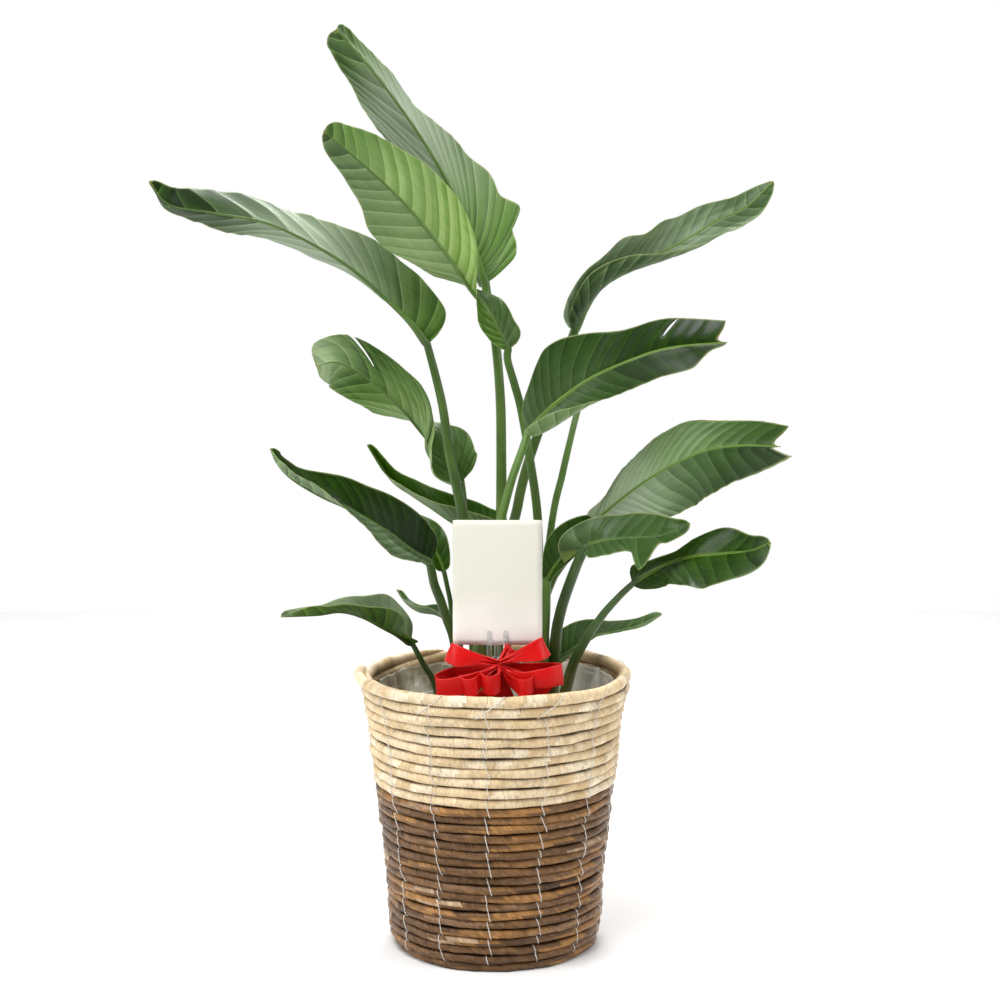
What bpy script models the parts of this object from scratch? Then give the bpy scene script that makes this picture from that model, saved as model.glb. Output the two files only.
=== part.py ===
"""A young bird of paradise in a nursery pot, set inside a coiled basket, with a gift card and a bow.

Metres, +Z up. The origin is the centre of the basket's flat base, on the surface it stands on, and
the card faces -Y.
"""

from itertools import product
from math import cos, pi, radians, sin
from typing import NamedTuple

import bmesh
import bpy
import numpy as np

# ---------------------------------------------------------------- driving dimensions
BASKET_HEIGHT = 0.300
BAND_JOINT = 0.180  # height where the thin brown coils give way to the thick pale ones
BROWN_COILS = 19
CREAM_COILS = 10  # below the rim coil
RIM_COIL_RADIUS = 0.0077
RIM_RING_RADIUS = 0.1425  # of the rim coil's centre line
PALE_COIL_THICKNESS = 0.0112
BROWN_COIL_THICKNESS = 0.0098
COIL_VALLEY = 0.0018  # how deep the groove between two coils is
BASE_THICKNESS = 0.009
GAP = 0.0003  # between pieces that touch

# height and outer radius of the basket's wall
WALL = [
    (0.000, 0.1090), (0.008, 0.1145), (0.030, 0.1178), (0.090, 0.1212), (0.137, 0.1268), (0.180, 0.1310),
]
PALE_WALL = [(0.180, 0.1322), (0.210, 0.1358), (0.235, 0.1378), (0.258, 0.1415), (0.2846, 0.1475)]

LINER_THICKNESS = 0.0006
LINER_TOP = 0.284

POT_HEIGHT = 0.246
POT_BASE_RADIUS = 0.086
POT_RIM_RADIUS = 0.1185
POT_WALL = 0.0016
POT_LIP = 0.0028
POT_LIP_HEIGHT = 0.010
SOIL_TOP = 0.236

CARD_SIZE = (0.0935, 0.1315)  # a little over B7 paper
CARD_THICKNESS = 0.0005
CARD_CENTRE = (0.003, -0.080, 0.408)

PICK_STEM_RADIUS = 0.0015
PICK_PRONG = (0.0045, 0.0012)  # width and thickness
PICK_DROP = 0.0155  # of the fork's bar below the card
PICK_HEIGHT = 0.031

RIBBON_WIDTH = 0.024
RIBBON_THICKNESS = 0.0006
BOW_CENTRE = (0.003, -0.100, 0.326)

BLADE_THICKNESS = 0.0009
RIB_THICKNESS = 0.0034
VEIN_SWEEP = 0.16  # how far a side vein runs towards the tip, as a share of the rib
END_ROUNDING = 0.06  # share of the rib over which a blade's width rounds off at each end
STALK_TO_BLADE = 0.0035


class Leaf(NamedTuple):
    """One leaf. Its blade is two halves that hinge on the rib.

    rib: points from the stalk to the tip. face: the way the upper face looks. turn: degrees that
    the face turns about the rib, from the stalk to the tip. left and right: half widths from the
    stalk to the tip, left as seen from above the upper face. fold: degrees that each half is
    raised towards the upper face, and curl: degrees that it bends on from there to its margin.
    stalk: points from the blade down, and radii: the stalk's radius at the blade and at the soil.
    """

    rib: list
    face: tuple
    left: list
    right: list
    fold_left: list
    fold_right: list
    stalk: list
    radii: tuple
    turn: list = [0]
    curl_left: list = [0]
    curl_right: list = [0]
    lobe_left: float = 0.0


LEAVES = {
    "top_back": Leaf(
        rib=[
            (-0.010, 0.030, 0.720), (-0.030, 0.040, 0.781), (-0.050, 0.040, 0.826),
            (-0.072, 0.030, 0.864), (-0.101, 0.010, 0.906), (-0.131, -0.020, 0.943),
            (-0.162, -0.060, 0.976),
        ],
        face=(0, 1, 0.3),
        left=[
            0.026, 0.040, 0.046, 0.050, 0.066, 0.050, 0.049, 0.050, 0.044, 0.041, 0.038,
            0.037, 0.036, 0.036, 0.035, 0.033, 0.031, 0.028, 0.025, 0.022, 0.018,
        ],
        right=[0.020, 0.050, 0.046, 0.038, 0.036, 0.028, 0.020],
        fold_left=[-10, 25, 70, 80, 80], fold_right=[80, 70, 30, 20, 40],
        stalk=[
            (-0.006, 0.027, 0.693), (0.001, 0.024, 0.655), (0.006, 0.018, 0.594),
            (0.007, 0.012, 0.534), (0.007, 0.006, 0.467), (0.006, 0.002, 0.390),
            (0.005, -0.001, 0.310), (0.004, -0.004, 0.238),
        ],
        radii=(0.0048, 0.0068),
    ),
    "top_front": Leaf(
        rib=[
            (0.015, -0.010, 0.649), (0.004, -0.015, 0.670), (-0.007, -0.020, 0.691),
            (-0.026, -0.025, 0.715), (-0.057, -0.040, 0.757), (-0.093, -0.060, 0.800),
            (-0.127, -0.080, 0.832), (-0.170, -0.120, 0.868),
        ],
        face=(0.2, -1, 0.2), turn=[0, 0, -90, -165, -180, -180, -180, -180, -180],
        left=[0.010, 0.019, 0.018, 0.046, 0.056, 0.046, 0.034, 0.017],
        right=[0.022, 0.020, 0.018, 0.034, 0.049, 0.034, 0.020, 0.010],
        fold_left=[15], fold_right=[15],
        stalk=[
            (0.014, -0.010, 0.638), (0.021, -0.009, 0.612), (0.028, -0.008, 0.586),
            (0.038, -0.007, 0.530), (0.046, -0.006, 0.471), (0.048, -0.004, 0.400),
            (0.051, -0.003, 0.320), (0.052, -0.002, 0.238),
        ],
        radii=(0.0042, 0.0058),
    ),
    "left_long": Leaf(
        rib=[
            (-0.072, -0.015, 0.654), (-0.090, -0.020, 0.678), (-0.116, -0.030, 0.703),
            (-0.150, -0.055, 0.734), (-0.189, -0.080, 0.759), (-0.231, -0.110, 0.778),
            (-0.277, -0.140, 0.786), (-0.317, -0.165, 0.793), (-0.334, -0.175, 0.815),
        ],
        face=(0, 1, -0.2),
        left=[0.036, 0.040, 0.044, 0.046, 0.046, 0.045, 0.042, 0.037, 0.040, 0.034, 0.026, 0.018, 0.010],
        right=[0.036, 0.044, 0.046, 0.044, 0.036, 0.022, 0.010],
        fold_left=[0, 20, 50, 25, -10], fold_right=[115, 108, 88, 84, 82, 85],
        stalk=[
            (-0.062, -0.016, 0.617), (-0.055, -0.017, 0.585), (-0.049, -0.018, 0.542),
            (-0.040, -0.019, 0.499), (-0.034, -0.020, 0.470), (-0.025, -0.021, 0.410),
            (-0.014, -0.022, 0.330), (-0.008, -0.022, 0.238),
        ],
        radii=(0.0042, 0.0078),
    ),
    "left_split": Leaf(
        rib=[
            (-0.036, 0.035, 0.504), (-0.049, 0.034, 0.517), (-0.063, 0.032, 0.537),
            (-0.078, 0.030, 0.556), (-0.100, 0.020, 0.582), (-0.126, 0.000, 0.609),
            (-0.149, -0.020, 0.627), (-0.168, -0.035, 0.636), (-0.187, -0.045, 0.632),
        ],
        face=(0, -1, 0.3), turn=[0, 0, -50, -130, -170, -180, -180, -180, -180],
        left=[0.040, 0.038, 0.024, 0.034, 0.036, 0.036, 0.026],
        right=[0.042, 0.040, 0.026, 0.030, 0.031, 0.030, 0.022],
        fold_left=[80, 45, 5, 15, 20], fold_right=[50, 25, 40, 35, 40],
        stalk=[
            (-0.034, 0.032, 0.486), (-0.033, 0.029, 0.465), (-0.029, 0.020, 0.400),
            (-0.024, 0.012, 0.320), (-0.022, 0.004, 0.238),
        ],
        radii=(0.0030, 0.0050),
    ),
    "left_low": Leaf(
        rib=[
            (-0.068, -0.040, 0.425), (-0.090, -0.050, 0.441), (-0.114, -0.060, 0.461),
            (-0.151, -0.080, 0.486), (-0.179, -0.095, 0.501), (-0.206, -0.115, 0.520),
            (-0.220, -0.125, 0.537), (-0.226, -0.130, 0.552),
        ],
        face=(0, -0.8, 0.6), turn=[0, 0, 0, -10, -25, -35, -35, -30],
        left=[0.024, 0.033, 0.033, 0.029, 0.024, 0.020, 0.009],
        right=[0.024, 0.033, 0.033, 0.029, 0.024, 0.020, 0.009],
        fold_left=[60, 35, 30, 50, 85], fold_right=[30, 30, 35, 30, 5],
        stalk=[
            (-0.065, -0.037, 0.402), (-0.058, -0.034, 0.382), (-0.051, -0.031, 0.360),
            (-0.044, -0.027, 0.338), (-0.036, -0.020, 0.285), (-0.033, -0.018, 0.238),
        ],
        radii=(0.0048, 0.0060),
    ),
    "left_inner": Leaf(
        rib=[
            (-0.055, 0.000, 0.408), (-0.062, 0.005, 0.425), (-0.073, 0.010, 0.441),
            (-0.087, 0.020, 0.453), (-0.104, 0.030, 0.462),
        ],
        face=(0.2, -1, 0.3),
        left=[0.008, 0.015, 0.020, 0.020, 0.016, 0.010],
        right=[0.008, 0.015, 0.020, 0.020, 0.016, 0.010],
        fold_left=[30, 25, 25, 10, 0], fold_right=[45, 35, 20, 5, 0],
        stalk=[
            (-0.052, 0.000, 0.393), (-0.048, 0.001, 0.371), (-0.044, 0.002, 0.325),
            (-0.040, 0.004, 0.238),
        ],
        radii=(0.0026, 0.0036),
    ),
    "left_narrow": Leaf(
        rib=[
            (0.011, 0.050, 0.436), (-0.019, 0.065, 0.441), (-0.048, 0.080, 0.454),
            (-0.071, 0.090, 0.468), (-0.094, 0.105, 0.481), (-0.120, 0.120, 0.498),
            (-0.147, 0.135, 0.537),
        ],
        face=(0, -0.5, 1),
        left=[0.030, 0.033, 0.030, 0.021, 0.017, 0.014, 0.006],
        right=[0.030, 0.033, 0.030, 0.021, 0.017, 0.014, 0.006],
        fold_left=[75, 80, 65, 65, 60], fold_right=[30, 55, 70, 75, 85],
        stalk=[
            (0.015, 0.045, 0.392), (0.012, 0.034, 0.238),
        ],
        radii=(0.0035, 0.0050),
    ),
    "left_arching": Leaf(
        rib=[
            (-0.089, -0.050, 0.339), (-0.097, -0.060, 0.347), (-0.115, -0.075, 0.359),
            (-0.136, -0.100, 0.375), (-0.157, -0.120, 0.384), (-0.179, -0.140, 0.384),
            (-0.213, -0.165, 0.386),
        ],
        face=(0, -0.4, 1), turn=[0, 0, 0, 0, -40, -60, -40],
        left=[0.012, 0.026, 0.032, 0.020, 0.012, 0.013, 0.007],
        right=[0.012, 0.026, 0.032, 0.020, 0.012, 0.013, 0.007],
        fold_left=[10, 30, 50, 15, 0], fold_right=[80, 80, 75, 80, 80],
        stalk=[
            (-0.088, -0.050, 0.339), (-0.076, -0.046, 0.315), (-0.065, -0.042, 0.295),
            (-0.058, -0.036, 0.262), (-0.052, -0.034, 0.238),
        ],
        radii=(0.0028, 0.0042),
    ),
    "left_small": Leaf(
        rib=[
            (-0.048, 0.050, 0.344), (-0.066, 0.065, 0.351), (-0.087, 0.085, 0.351),
            (-0.103, 0.105, 0.358), (-0.113, 0.120, 0.370),
        ],
        face=(0, -0.5, 1),
        left=[0.010, 0.011, 0.010, 0.008, 0.005], right=[0.010, 0.011, 0.010, 0.008, 0.005],
        fold_left=[60, 70, 80, 80, 75], fold_right=[65, 45, 20, 0, 0],
        stalk=[
            (-0.037, 0.040, 0.314), (-0.030, 0.026, 0.238),
        ],
        radii=(0.0025, 0.0035),
    ),
    "right_high": Leaf(
        rib=[
            (0.087, 0.050, 0.668), (0.098, 0.045, 0.692), (0.115, 0.045, 0.715),
            (0.139, 0.045, 0.733), (0.172, 0.050, 0.749), (0.209, 0.060, 0.767),
            (0.243, 0.070, 0.788), (0.278, 0.085, 0.804), (0.311, 0.100, 0.834),
        ],
        face=(0, -1, 0.5),
        left=[0.016, 0.028, 0.034, 0.030, 0.034, 0.029, 0.031, 0.028, 0.026, 0.024, 0.019, 0.014, 0.006],
        right=[0.016, 0.034, 0.032, 0.029, 0.026, 0.019, 0.006],
        fold_left=[55, 55, 30, 0, -15], fold_right=[80, 50, 5, -10, -15], curl_right=[90, 110, 90, 50, 20],
        stalk=[
            (0.046, 0.038, 0.552), (0.035, 0.034, 0.519), (0.028, 0.032, 0.492),
            (0.022, 0.029, 0.464), (0.005, 0.023, 0.410), (-0.005, 0.020, 0.330),
            (-0.009, 0.018, 0.238),
        ],
        radii=(0.0050, 0.0062),
    ),
    "right_middle": Leaf(
        rib=[
            (0.035, -0.040, 0.564), (0.053, -0.050, 0.584), (0.074, -0.055, 0.602),
            (0.101, -0.060, 0.621), (0.140, -0.070, 0.639), (0.180, -0.080, 0.652),
            (0.238, -0.090, 0.658),
        ],
        face=(0, -1, 0.5),
        left=[0.015, 0.032, 0.051, 0.046, 0.034, 0.033, 0.030, 0.024],
        right=[
            0.030, 0.050, 0.060, 0.058, 0.054, 0.049, 0.045, 0.041,
            0.038, 0.037, 0.036, 0.035, 0.031, 0.010, 0.005,
        ],
        fold_left=[15, 8, 4, 8, 10], fold_right=[0, -5, -5, 0, 10, 15, 15],
        curl_right=[150, 140, 95, 40, 15, 5, 0],
        stalk=[
            (0.028, -0.041, 0.541), (0.018, -0.041, 0.512), (0.007, -0.042, 0.472),
            (-0.009, -0.044, 0.410), (-0.018, -0.046, 0.330), (-0.022, -0.046, 0.238),
        ],
        radii=(0.0042, 0.0062),
    ),
    "back": Leaf(
        rib=[
            (0.095, 0.082, 0.590), (0.101, 0.105, 0.610), (0.110, 0.140, 0.624),
            (0.123, 0.185, 0.630), (0.138, 0.235, 0.628),
        ],
        face=(0, -0.3, 1),
        left=[0.010, 0.018, 0.022, 0.022, 0.018, 0.009], right=[0.010, 0.018, 0.022, 0.022, 0.018, 0.009],
        fold_left=[25], fold_right=[40],
        stalk=[
            (0.086, 0.065, 0.556), (0.075, 0.051, 0.511), (0.061, 0.035, 0.444),
            (0.040, 0.012, 0.238),
        ],
        radii=(0.0036, 0.0048),
    ),
    "right_wide": Leaf(
        rib=[
            (0.102, -0.020, 0.460), (0.114, -0.030, 0.473), (0.148, -0.050, 0.504),
            (0.182, -0.080, 0.530), (0.215, -0.105, 0.548), (0.247, -0.130, 0.555),
            (0.284, -0.160, 0.556),
        ],
        face=(0, -1, 0.6),
        left=[0.014, 0.014, 0.027, 0.035, 0.037, 0.031, 0.027, 0.022],
        right=[0.018, 0.040, 0.057, 0.060, 0.064, 0.064, 0.046, 0.010],
        fold_left=[15, 8, 2, 0, 0], fold_right=[25, 18, 12, 9, 10],
        stalk=[
            (0.070, -0.009, 0.414), (0.062, -0.002, 0.399), (0.054, 0.009, 0.370),
            (0.055, 0.011, 0.330), (0.060, 0.010, 0.238),
        ],
        radii=(0.0045, 0.0055),
    ),
    "right_front": Leaf(
        rib=[
            (0.092, -0.070, 0.442), (0.099, -0.076, 0.448), (0.114, -0.088, 0.454),
            (0.139, -0.107, 0.459), (0.164, -0.124, 0.462), (0.183, -0.135, 0.469),
            (0.197, -0.140, 0.477),
        ],
        face=(0, -1, 0.6),
        left=[0.022, 0.026, 0.026, 0.028, 0.026, 0.017, 0.006],
        right=[
            0.010, 0.016, 0.020, 0.022, 0.022, 0.022, 0.020, 0.019,
            0.020, 0.028, 0.044, 0.013, 0.011, 0.009, 0.007, 0.005,
        ],
        fold_left=[15, 15, 10, 5, 5], fold_right=[15, 15, 15, 14, 10], lobe_left=0.030,
        stalk=[
            (0.076, -0.053, 0.394), (0.069, -0.043, 0.367), (0.065, -0.034, 0.339),
            (0.063, -0.014, 0.280), (0.064, -0.010, 0.238),
        ],
        radii=(0.0055, 0.0068),
    ),
    "right_inner": Leaf(
        rib=[
            (0.055, -0.030, 0.403), (0.062, -0.036, 0.417), (0.072, -0.042, 0.431),
            (0.089, -0.046, 0.449), (0.110, -0.048, 0.466),
        ],
        face=(0, -1, 0.4),
        left=[0.008, 0.014, 0.024, 0.026, 0.022, 0.014], right=[0.006, 0.008, 0.012, 0.014, 0.013, 0.010],
        fold_left=[15], fold_right=[30],
        stalk=[
            (0.055, -0.030, 0.382), (0.054, -0.030, 0.349), (0.048, -0.026, 0.238),
        ],
        radii=(0.0048, 0.0052),
    ),
    "right_low": Leaf(
        rib=[
            (0.143, -0.090, 0.409), (0.160, -0.100, 0.421), (0.180, -0.110, 0.433),
            (0.203, -0.130, 0.443), (0.228, -0.150, 0.448), (0.252, -0.175, 0.454),
            (0.271, -0.190, 0.464),
        ],
        face=(0, -1, 0.6),
        left=[0.019, 0.012, 0.010, 0.020, 0.027, 0.018, 0.008],
        right=[0.008, 0.022, 0.033, 0.045, 0.047, 0.031, 0.008],
        fold_left=[15, 20, 20, 10, 5], fold_right=[15, 20, 20, 10, 5],
        stalk=[
            (0.128, -0.083, 0.392), (0.113, -0.076, 0.373), (0.096, -0.065, 0.345),
            (0.084, -0.055, 0.319), (0.078, -0.046, 0.296), (0.070, -0.032, 0.258),
            (0.069, -0.032, 0.238),
        ],
        radii=(0.0032, 0.0075),
    ),
    "right_lowest": Leaf(
        rib=[
            (0.069, 0.050, 0.301), (0.087, 0.065, 0.310), (0.111, 0.085, 0.322),
            (0.137, 0.105, 0.324), (0.168, 0.125, 0.328), (0.194, 0.145, 0.339),
        ],
        face=(0, -0.6, 1),
        left=[0.032, 0.028, 0.018, 0.012, 0.010, 0.006], right=[0.032, 0.028, 0.018, 0.012, 0.010, 0.006],
        fold_left=[70, 50, 35, 20, 0], fold_right=[55, 45, 30, 25, 30],
        stalk=[
            (0.052, 0.030, 0.238),
        ],
        radii=(0.0040, 0.0045),
    ),
}


# ---------------------------------------------------------------- helpers
def clear_scene():
    for obj in list(bpy.data.objects):
        bpy.data.objects.remove(obj, do_unlink=True)


def material(name, colour, roughness, alpha=1.0):
    made = bpy.data.materials.new(name)
    made.use_nodes = True
    shader = made.node_tree.nodes["Principled BSDF"]
    shader.inputs["Base Color"].default_value = (*colour, 1)
    shader.inputs["Roughness"].default_value = roughness
    shader.inputs["Alpha"].default_value = alpha
    return made


def add_mesh(name, points, faces, surface):
    """An object from points and faces, its coincident points merged and its faces turned outwards."""
    mesh = bpy.data.meshes.new(name)
    shape = bmesh.new()
    corners = [shape.verts.new(point) for point in points]
    for face in faces:
        shape.faces.new([corners[i] for i in face])
    bmesh.ops.remove_doubles(shape, verts=shape.verts, dist=1e-6)
    bmesh.ops.recalc_face_normals(shape, faces=shape.faces)
    shape.to_mesh(mesh)
    shape.free()
    mesh.shade_smooth()
    mesh.set_sharp_from_angle(angle=radians(35))
    mesh.materials.append(surface)
    obj = bpy.data.objects.new(name, mesh)
    bpy.context.collection.objects.link(obj)
    return obj


def unit(vectors):
    return vectors / np.linalg.norm(vectors, axis=-1, keepdims=True)


def smooth_curve(points, steps):
    """steps + 1 points, evenly spaced, on the smooth curve through the given ones."""
    knots = np.array(points, float)
    ends = np.vstack([2 * knots[0] - knots[1], knots, 2 * knots[-1] - knots[-2]])
    t = np.linspace(0, len(knots) - 1, 40 * len(knots))
    i = np.minimum(t.astype(int), len(knots) - 2)
    f = (t - i)[:, None]
    a, b, c, d = ends[i], ends[i + 1], ends[i + 2], ends[i + 3]
    curve = b + 0.5 * f * (c - a + f * (2 * a - 5 * b + 4 * c - d + f * (3 * b - a - 3 * c + d)))
    length = np.r_[0, np.cumsum(np.linalg.norm(np.diff(curve, axis=0), axis=1))]
    at = np.linspace(0, length[-1], steps + 1)
    return np.stack([np.interp(at, length, curve[:, axis]) for axis in range(3)], axis=1)


def smooth_values(values, at):
    """The values, spaced evenly from 0 to 1, read smoothly at the given places."""
    if len(values) == 1:
        return np.full(np.shape(at), float(values[0]))
    knots = np.stack([np.linspace(0, 1, len(values)), values, np.zeros(len(values))], axis=1)
    curve = smooth_curve(knots * (1, 1e-3, 1), 200)
    return np.interp(at, curve[:, 0], curve[:, 1] * 1e3)


def tube(name, path, radii, surface, sides=6):
    """A closed tube whose radius goes from the first of radii to the last. It ends level."""
    forward = unit(np.gradient(path, axis=0))
    across = unit(np.cross(forward, (0.0, 1.0, 0.0)))
    beside = np.cross(forward, across)
    radius = np.linspace(radii[0], radii[1], len(path))
    points = []
    for centre, a, b, r in zip(path, across, beside, radius):
        for k in range(sides):
            turn = 2 * pi * k / sides
            points.append(centre + r * (a * cos(turn) + b * sin(turn)))
    for point in points[-sides:]:
        point[2] = path[-1][2]
    faces = []
    for ring in range(len(path) - 1):
        for k in range(sides):
            low, high = ring * sides, (ring + 1) * sides
            faces.append((low + k, low + (k + 1) % sides, high + (k + 1) % sides, high + k))
    faces.append(range(sides))
    faces.append(range((len(path) - 1) * sides, len(path) * sides))
    return add_mesh(name, points, faces, surface)


def turned(name, profile, surface, segments=40):
    """A closed profile of (radius, height) points turned about Z. A radius of 0 closes on the axis."""
    points = []
    for k in range(segments):
        turn = 2 * pi * k / segments
        points += [(r * cos(turn), r * sin(turn), z) for r, z in profile]
    count = len(profile)
    faces = []
    for k in range(segments):
        here, there = k * count, (k + 1) % segments * count
        for i in range(count):
            j = (i + 1) % count
            corners = [here + i, there + i, there + j, here + j]
            if profile[i][0] == 0 and profile[j][0] == 0:
                continue
            if profile[i][0] == 0:
                corners = [here + i, there + j, here + j]
            elif profile[j][0] == 0:
                corners = [here + i, there + i, here + j]
            faces.append(corners)
    return add_mesh(name, points, faces, surface)


def strip(name, path, outward, widths, thickness, surface):
    """A flat ribbon: path is its centre line, outward the way its face looks at each point."""
    forward = unit(np.gradient(path, axis=0))
    face = unit(outward - (outward * forward).sum(1, keepdims=True) * forward)
    across = np.cross(forward, face) * np.array(widths)[:, None] / 2
    lift = face * thickness / 2
    rings = [path - across - lift, path + across - lift, path + across + lift, path - across + lift]
    points = [ring[i] for i in range(len(path)) for ring in rings]
    faces = [(4 * i + k, 4 * i + (k + 1) % 4, 4 * i + 4 + (k + 1) % 4, 4 * i + 4 + k)
             for i in range(len(path) - 1) for k in range(4)]
    faces += [(0, 1, 2, 3), range(4 * len(path) - 4, 4 * len(path))]
    return add_mesh(name, points, faces, surface)


def block(name, low, high, surface):
    sides = zip(low, high)
    corners = list(product(*sides))
    faces = [(0, 1, 3, 2), (4, 6, 7, 5), (0, 4, 5, 1), (2, 3, 7, 6), (0, 2, 6, 4), (1, 5, 7, 3)]
    return add_mesh(name, corners, faces, surface)


def join(whole, pieces):
    """Unites the pieces into whole and removes them."""
    for piece in pieces:
        union = whole.modifiers.new("join", "BOOLEAN")
        union.operation = "UNION"
        union.object = piece
        piece.hide_render = True
        piece.display_type = "WIRE"


# ---------------------------------------------------------------- basket
def wall_radius(wall, height):
    return float(np.interp(height, [z for z, _ in wall], [r for _, r in wall]))


def coiled_wall(wall, low, high, coils, thickness):
    """Profile of stacked coils, from the outside bottom up, then down the plain inside."""
    outside = []
    pitch = (high - low) / coils
    for i in range(coils):
        bottom, middle = low + i * pitch, low + (i + 0.5) * pitch
        outside.append((wall_radius(wall, bottom) - COIL_VALLEY, bottom))
        outside.append((wall_radius(wall, middle), middle))
    outside.append((wall_radius(wall, high) - COIL_VALLEY, high))
    heights = [high] + [z for z, _ in reversed(wall) if low < z < high] + [low]
    inside = [(wall_radius(wall, z) - thickness, z) for z in heights]
    return outside, inside


def make_basket():
    pale = material("pale_coil", (0.72, 0.58, 0.36), 0.6)
    brown = material("brown_coil", (0.33, 0.19, 0.09), 0.55)

    outside, inside = coiled_wall(WALL, 0.0, BAND_JOINT - GAP, BROWN_COILS, BROWN_COIL_THICKNESS)
    turned("basket_brown_band", outside + inside, brown)

    rim_centre = BASKET_HEIGHT - RIM_COIL_RADIUS
    top = rim_centre - RIM_COIL_RADIUS
    outside, inside = coiled_wall(PALE_WALL, BAND_JOINT, top, CREAM_COILS, PALE_COIL_THICKNESS)
    rim = []
    for degrees in range(-50, 231, 40):
        turn = radians(degrees)
        radius = RIM_RING_RADIUS + RIM_COIL_RADIUS * cos(turn)
        rim.append((radius, rim_centre + RIM_COIL_RADIUS * sin(turn)))
    turned("basket_cream_band", outside + rim + inside[1:], pale)

    edge = wall_radius(WALL, 0.0) - BROWN_COIL_THICKNESS - GAP
    turned("basket_base", [(0, 0), (edge, 0), (edge, BASE_THICKNESS), (0, BASE_THICKNESS)], brown)


def make_liner():
    """A bag of clear film that hangs just inside the wall, open at the top."""
    film = material("clear_film", (0.75, 0.76, 0.74), 0.2, alpha=0.4)
    floor = BASE_THICKNESS + GAP
    widest = RIM_RING_RADIUS - RIM_COIL_RADIUS - 0.001
    outside = [(wall_radius(WALL, floor) - BROWN_COIL_THICKNESS - 2 * GAP, floor)]
    for z, radius in WALL[2:]:
        outside.append((radius - BROWN_COIL_THICKNESS - 2 * GAP - 0.001 * (z == BAND_JOINT), z))
    for z, radius in PALE_WALL[1:-1] + [(LINER_TOP, PALE_WALL[-1][1])]:
        outside.append((min(radius - PALE_COIL_THICKNESS - 2 * GAP, widest), z))
    inside = [(r - LINER_THICKNESS, z) for r, z in reversed(outside)]
    inside[-1] = (inside[-1][0], floor + LINER_THICKNESS)
    profile = [(0, floor)] + outside + inside + [(0, floor + LINER_THICKNESS)]
    turned("basket_liner", profile, film)


# ---------------------------------------------------------------- pot and soil
def make_pot():
    plastic = material("pot_plastic", (0.80, 0.80, 0.77), 0.45)
    earth = material("soil", (0.06, 0.04, 0.03), 0.95)
    floor = BASE_THICKNESS + 2 * GAP + LINER_THICKNESS + GAP
    top = floor + POT_HEIGHT
    lip_bottom = top - POT_LIP_HEIGHT
    wall_top = POT_RIM_RADIUS
    pot = [
        (0, floor), (POT_BASE_RADIUS, floor), (wall_top, lip_bottom), (wall_top + POT_LIP, lip_bottom),
        (wall_top + POT_LIP, top), (wall_top - POT_WALL, top), (wall_top - POT_WALL, lip_bottom),
        (POT_BASE_RADIUS - POT_WALL, floor + POT_WALL), (0, floor + POT_WALL),
    ]
    turned("nursery_pot", pot, plastic)

    bottom = floor + POT_WALL + GAP
    slope = (wall_top - POT_BASE_RADIUS) / (lip_bottom - floor)
    bottom_radius = POT_BASE_RADIUS - POT_WALL - 3 * GAP
    top_radius = bottom_radius + slope * (SOIL_TOP - bottom)
    turned("soil", [(0, bottom), (bottom_radius, bottom), (top_radius, SOIL_TOP), (0, SOIL_TOP)], earth)


# ---------------------------------------------------------------- leaves
def blade_half(leaf, side, rows, columns):
    """Points and upward normals of half a blade, from the rib out to its margin. side 1 is the left."""
    steps = 100
    rib = smooth_curve(leaf.rib, steps)
    stations = np.linspace(0, 1, steps + 1)
    forward = unit(np.gradient(rib, axis=0))
    face = np.array(leaf.face, float)
    up = unit(face - (forward @ face)[:, None] * forward)
    turn = np.radians(smooth_values(leaf.turn, stations))[:, None]
    up = up * np.cos(turn) + np.cross(up, forward) * np.sin(turn)
    left = np.cross(up, forward)

    # The rows run along the side veins, which lean towards the tip.
    margin = np.linspace(0, 1, rows + 1)
    start = margin - 4 * VEIN_SWEEP * margin * (1 - margin)
    out = np.linspace(0, 1, columns + 1)
    along = start[:, None] + (margin - start)[:, None] * out**1.25
    half_width = smooth_values(leaf.left if side > 0 else leaf.right, margin)
    half_width *= np.sqrt(1 - np.clip(1 - margin / END_ROUNDING, 0, 1) ** 2)
    half_width *= np.sqrt(1 - np.clip(1 - (1 - margin) / END_ROUNDING, 0, 1) ** 2)
    half_width = half_width[:, None]
    fold = np.radians(smooth_values(leaf.fold_left if side > 0 else leaf.fold_right, margin))[:, None]
    curl = np.radians(smooth_values(leaf.curl_left if side > 0 else leaf.curl_right, margin))[:, None] + 1e-3
    angle = fold + curl * out
    sideways = side * half_width / curl * (np.sin(angle) - np.sin(fold))
    rise = half_width / curl * (np.cos(fold) - np.cos(angle))
    lobe = (leaf.lobe_left if side > 0 else 0) * np.exp(-((margin[:, None] / 0.12) ** 2)) * out

    def here(vectors):
        return np.stack([np.interp(along, stations, vectors[:, axis]) for axis in range(3)], axis=-1)

    points = here(rib) + sideways[..., None] * here(left) + rise[..., None] * here(up)
    points -= lobe[..., None] * here(forward)
    normals = np.cos(angle)[..., None] * here(up) - side * np.sin(angle)[..., None] * here(left)
    return points, unit(normals)


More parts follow.
